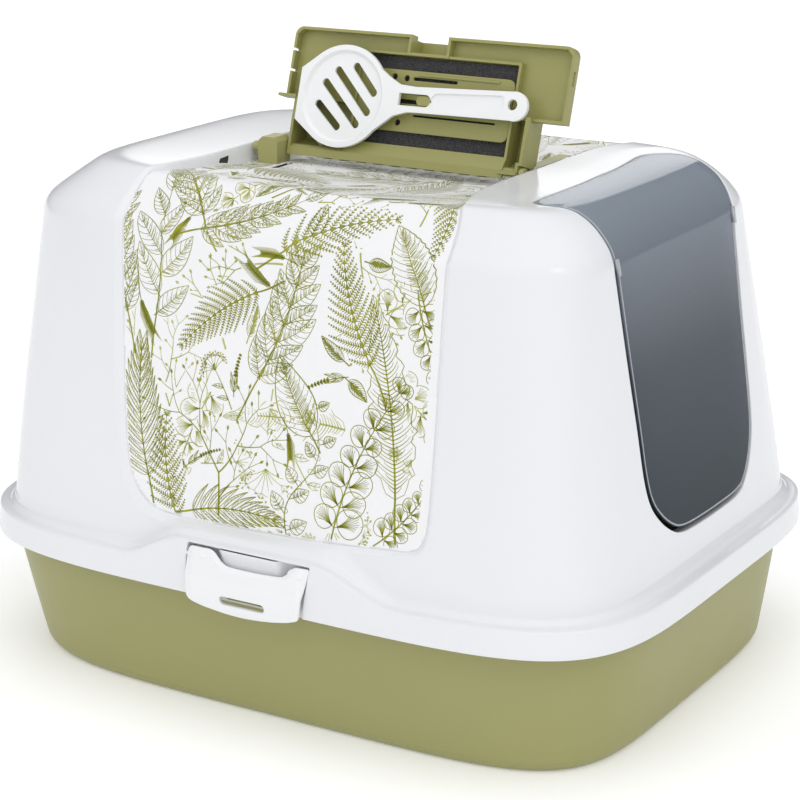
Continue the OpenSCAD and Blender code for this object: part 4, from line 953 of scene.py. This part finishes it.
_gx = np.arange(-160, 171, 1.0); _gs = np.arange(-430, 431, 1.0)
PGRID = sd_panel(*np.meshgrid(_gx, _gs))
def sd_panel_fast(V2):
    x = np.clip(V2[:, 0]+160, 0, len(_gx)-1.001); s = np.clip(V2[:, 1]+430, 0, len(_gs)-1.001)
    i, j = s.astype(int), x.astype(int); fi, fj = s-i, x-j
    g = PGRID
    return g[i, j]*(1-fi)*(1-fj)+g[i+1, j]*fi*(1-fj)+g[i, j+1]*(1-fi)*fj+g[i+1, j+1]*fi*fj
def cells(p): return np.clip(np.round(p[:, 1]+430).astype(int), 0, 859), np.clip(np.round(p[:, 0]+160).astype(int), 0, 319)
class Layer:
    """one printing: its strokes and the square millimetres that they cover"""
    def __init__(s): s.occ = np.zeros((860, 320), bool); s.body = np.zeros((860, 320), bool); s.P = []; s.W = []; s.N = []
    def place(s, I, x, t, a, sc, flip=False, limit=0.04, force=False, gap=2):
        # local +y grows upwards, which is towards smaller |s| on both sides
        c_, s_ = math.cos(a)*sc, math.sin(a)*sc; fx = -1.0 if flip else 1.0; sg = 1.0 if t > 0 else -1.0
        def tf(p):
            q0 = p[:, 0]*fx*c_-p[:, 1]*s_; q1 = p[:, 0]*fx*s_+p[:, 1]*c_
            return np.stack([x+sg*q0, t-sg*q1], 1)
        pts = tf(I.T); ins = sd_panel_fast(pts) > -2
        if ins.mean() < 0.45 and not force: return False
        i, j = cells(pts[ins])
        if not force and s.occ[i, j].mean() > limit: return False
        for dx in (-gap, 0, gap):
            for dy in (-gap, 0, gap): s.occ[np.clip(i+dy, 0, 859), np.clip(j+dx, 0, 319)] = True
        i, j = cells(tf(I.K))
        for dx in (-1, 0, 1):
            for dy in (-1, 0, 1): s.body[np.clip(i+dy, 0, 859), np.clip(j+dx, 0, 319)] = True
        s.P.append(tf(I.P)); s.W.append(I.W*(0.6+0.4*sc)); s.N.append(I.N)
        return True
    def scatter(s, kinds, tries, lo, hi, limit, srange=(-405, 405), spread=math.pi, gap=2):
        for _ in range(tries):
            k = kinds[rng.integers(len(kinds))]; I = LIB[k][rng.integers(len(LIB[k]))]
            s.place(I, rng.uniform(-140, 146), rng.uniform(*srange), rng.uniform(-spread, spread), rng.uniform(lo, hi), bool(rng.integers(2)), limit, gap=gap)
LIB = {
 "fern": [fern(118, 36, 17, 0.18), fern(96, 30, 15, -0.25), fern(135, 40, 19, 0.05), fern(80, 24, 13, 0.3, q=3.0)],
 "sprig": [sprig(), sprig(95, 6, 40, 9.5, -0.15, False, 18), sprig(120, 9, 26, 8.5, 0.1), sprig(100, 8, 30, 6.0, -0.2, True, 12, 5)],
 "palm": [palm(), palm(90, 11, 36, -0.25)],
 "long": [longleaf(), longleaf(110, 14, -0.15, 38)],
 "round": [roundleaf(), roundleaf(80, 7, 7.5, -0.2)],
 "twig": [twig(), twig(80, 4), twig(70, 3)],
 "umbel": [umbel(), umbel(60, 9, 20, 5), umbel(48, 8, 15, 5)],
 "wheat": [wheat(), wheat(70, 11)], "lav": [lavender(), lavender(64, 7)],
 "daisy": [daisy(), daisy(9, 34)], "vine": [vine(), vine(72, 7)],
 "leaf": [single(), single(46, 12), single(66, 17, 0.05, 10), single(40, 13, 0.04, 7), single(52, 10)],
}
for v_ in LIB.values():
    for I in v_: I.pack()
FRONT, BACK = Layer(), Layer()
# a few large plants set at listed places, the rest grown into the gaps
for (k, v, x, s, a, sc, fl) in [("palm", 0, -94, 372, 0.35, 0.95, False), ("fern", 3, -66, 398, 0.5, 1.0, False), ("round", 0, 66, 396, -0.12, 1.3, False), ("sprig", 0, -6, 286, -0.5, 1.05, True),
        ("long", 0, 116, 352, 0.10, 1.08, True), ("sprig", 1, -98, 252, -0.1, 1.05, False), ("fern", 1, 88, 262, 0.6, 0.95, True), ("twig", 0, -30, 396, 0.1, 1.35, False),
        ("sprig", 3, -66, 172, 0.55, 1.0, False), ("fern", 3, 8, 190, -0.85, 1.15, False), ("leaf", 2, 126, 214, 0.35, 1.0, False), ("leaf", 0, 44, 318, 0.7, 1.1, False), ("vine", 0, 30, 396, -0.2, 1.1, True),
        ("palm", 1, 96, -372, -0.3, 1.0, False), ("fern", 3, -40, -398, 0.15, 1.1, False), ("sprig", 2, 20, -282, 0.3, 1.05, True), ("long", 1, -108, -340, -0.1, 1.05, False),
        ("round", 1, 100, -246, 0.2, 1.1, False), ("fern", 1, -60, -238, -0.6, 1.0, True), ("twig", 1, 40, -402, -0.1, 1.3, False), ("sprig", 1, 70, -165, -0.4, 0.95, False)]:
    FRONT.place(LIB[k][v], x, s, a, sc, fl, force=True, gap=1)
FRONT.scatter(["fern", "sprig", "palm", "long", "sprig", "round", "twig"], 900, 0.8, 1.05, 0.05, gap=2)
FRONT.scatter(["fern", "sprig", "palm", "round", "vine", "leaf", "umbel"], 1300, 0.5, 0.8, 0.05, gap=2)
FRONT.scatter(["leaf", "sprig", "wheat", "lav"], 1000, 0.36, 0.55, 0.05, gap=2)
BACK.occ |= FRONT.body
BACK.scatter(["fern", "twig", "sprig", "umbel", "round", "long"], 900, 0.9, 1.3, 0.34, gap=1)
BACK.scatter(["fern", "twig", "wheat", "umbel", "vine"], 900, 0.6, 0.95, 0.26, gap=1)
BACK.scatter(["leaf", "umbel", "daisy", "twig"], 700, 0.4, 0.65, 0.2, gap=1)

def ribbon_mesh(layer, near, hide=None, gain=1.3, least=0.3):
    P_ = np.concatenate(layer.P); W_ = np.concatenate(layer.W); N_ = np.concatenate(layer.N)
    last = np.cumsum(N_)-1; first = last-N_+1
    T = np.empty_like(P_); T[1:-1] = P_[2:]-P_[:-2]; T[0] = P_[1]-P_[0]; T[-1] = P_[-1]-P_[-2]
    T[first] = P_[first+1]-P_[first]; T[last] = P_[last]-P_[last-1]
    T /= np.maximum(np.linalg.norm(T, axis=1, keepdims=True), 1e-9)
    top_ = 1-0.42*(1-sstep((np.abs(P_[:, 1])-120)/30))
    Nn = np.stack([-T[:, 1], T[:, 0]], 1)*(np.maximum(W_*gain, least)*0.5*top_)[:, None]
    V2 = np.stack([P_+Nn, P_-Nn], 1).reshape(-1, 2)
    e = np.ones(len(P_), bool); e[last] = False; k = np.where(e)[0]*2
    F2 = np.stack([k, k+1, k+3, k+2], 1)
    sd = sd_panel_fast(V2)
    hole = np.maximum(sd_box(V2[:, 0], V2[:, 1], -88, 17, -81.5, 44, 0.8), sd_box(V2[:, 0], V2[:, 1], -80, -52, 80, -6, 2.0))
    edge = 0.9+5.6*sstep((V2[:, 0]-126)/12)*sstep((np.abs(V2[:, 1])-150)/25)
    ok = (sd > edge) & (hole < -0.5) & ((V2[:, 1] > 0) if near else (V2[:, 1] < 0))
    if hide is not None: i, j = cells(V2); ok &= ~hide[i, j]
    F2 = F2[ok[F2].all(1)]
    V3 = floor_pt(V2[:, 0], V2[:, 1], 0.50)
    used = np.zeros(len(V3), bool); used[F2.ravel()] = True; idx = np.cumsum(used)-1
    return V3[used], idx[F2]
for nm_, near in (("near", True), ("far", False)):
    for lay, hide, mt, tag, gn, ls in ((FRONT, None, INK, "lines", 1.35, 0.34), (BACK, FRONT.body, INK2, "pale_lines", 1.3, 0.34)):
        V3, F3 = ribbon_mesh(lay, near, hide, gn, ls)
        make("print_"+tag+"_"+nm_, V3, F3[:, ::-1] if near else F3, mt, "hood", slot="print_film", smooth=False)
        print("ink", tag, nm_, len(F3))
    xs = np.arange(-140, 150, 3.0); sv = np.arange(0, 408, 3.0) if near else np.arange(-408, 1, 3.0)
    U, W_ = np.meshgrid(xs, sv); G = floor_pt(U, W_, 0.42); Nn = gridnormals(G, False)
    f = np.minimum(sd_panel(U, W_)-0.05, np.minimum(-sd_box(U, W_, -88, 17, -81.5, 44, 0.8), -sd_box(U, W_, -80, -52, 80, -6, 2.0)))
    AA = np.concatenate([G.reshape(-1, 3), Nn.reshape(-1, 3)], 1)
    B, faces, loops = clip(AA, gridfaces(len(sv), len(xs), False), f.ravel())
    for L, closed in loops: B, faces, _ = rim(B, faces, L, closed, B[L, 3:6], [(0.05, -0.4 if B[L, 5].mean() > 0 else 0.4)])
    mm = M(); mm.add(B, faces); mm.make("print_sheet_"+nm_, FILM, "hood", slot="print_film", repl=("print_"+nm_,))

# ------------------------------------------------------------------ stage, camera, light
def stage_floor():
    me = bpy.data.meshes.new("floor"); s = 30.0
    me.from_pydata([(-s, -s, 0), (s, -s, 0), (s, s, 0), (-s, s, 0)], [], [(0, 1, 2, 3)])
    o = bpy.data.objects.new("floor", me); scene.collection.objects.link(o)
    m = bpy.data.materials.new("floor_white"); m.use_nodes = True
    p = m.node_tree.nodes["Principled BSDF"]; p.inputs["Base Color"].default_value = (0.97, 0.97, 0.97, 1); p.inputs["Roughness"].default_value = 0.9
    p.inputs["Specular IOR Level"].default_value = 0.0
    p.inputs["Emission Color"].default_value = (1, 1, 1, 1); p.inputs["Emission Strength"].default_value = 0.16
    me.materials.append(m); o.location.z = -0.0002
stage_floor()

yaw, pitch, roll = map(math.radians, (31.07, 17.89, -0.1))
back = Vector((math.sin(yaw)*math.cos(pitch), -math.cos(yaw)*math.cos(pitch), math.sin(pitch)))
right = Vector((0, 0, 1)).cross(back).normalized(); up = back.cross(right)
r2 = right*math.cos(roll)+up*math.sin(roll); u2 = -right*math.sin(roll)+up*math.cos(roll)
cam = bpy.data.objects.new("camera", bpy.data.cameras.new("camera")); scene.collection.objects.link(cam)
cam.matrix_world = Matrix(((r2.x, u2.x, back.x, 0.9249), (r2.y, u2.y, back.y, -1.5295), (r2.z, u2.z, back.z, 0.7379), (0, 0, 0, 1)))
cam.data.sensor_width = 36; cam.data.lens = 107.28
cam.data.shift_x = -0.002; cam.data.shift_y = 0.0521
cam.data.clip_start = 0.05
scene.camera = cam

w = bpy.data.worlds.new("studio"); scene.world = w; w.use_nodes = True
nt = w.node_tree; bg = nt.nodes["Background"]; bg.inputs["Color"].default_value = (0.99, 0.995, 1.0, 1)
tc = nt.nodes.new("ShaderNodeTexCoord"); sx = nt.nodes.new("ShaderNodeSeparateXYZ"); nt.links.new(tc.outputs["Generated"], sx.inputs[0])
def mnode(op, a, b):
    n = nt.nodes.new("ShaderNodeMath"); n.operation = op
    for i, v in enumerate((a, b)):
        if isinstance(v, (int, float)): n.inputs[i].default_value = v
        else: nt.links.new(v, n.inputs[i])
    return n.outputs[0]
zz_ = mnode("MULTIPLY", mnode("MULTIPLY", sx.outputs["Z"], sx.outputs["Z"]), 0.98)
lin = mnode("ADD", mnode("MULTIPLY", sx.outputs["Y"], -0.45), mnode("MULTIPLY", sx.outputs["X"], 0.27))
tot = mnode("MAXIMUM", mnode("ADD", mnode("ADD", lin, 0.476), zz_), 0.05)
nt.links.new(tot, bg.inputs["Strength"])
def area(name, loc, target, size, power, color=(1, 1, 1), size_y=None):
    l = bpy.data.lights.new(name, "AREA"); l.energy = power; l.size = size; l.color = color
    if size_y: l.shape = "RECTANGLE"; l.size_y = size_y
    o = bpy.data.objects.new(name, l); scene.collection.objects.link(o)
    o.location = loc; o.rotation_euler = (Vector(target)-Vector(loc)).to_track_quat("-Z", "Y").to_euler()
    return o
area("box_back", (-1.05, 2.15, 1.15), (0.17, 0, 0.39), 1.5, 5.5, size_y=0.7)
area("box_right", (1.75, -0.95, 1.75), (0.2, -0.1, 0.35), 0.6, 2.2, size_y=0.4)
area("box_left", (-1.6, -2.0, 1.5), (-0.1, -0.2, 0.25), 0.9, 1.0)
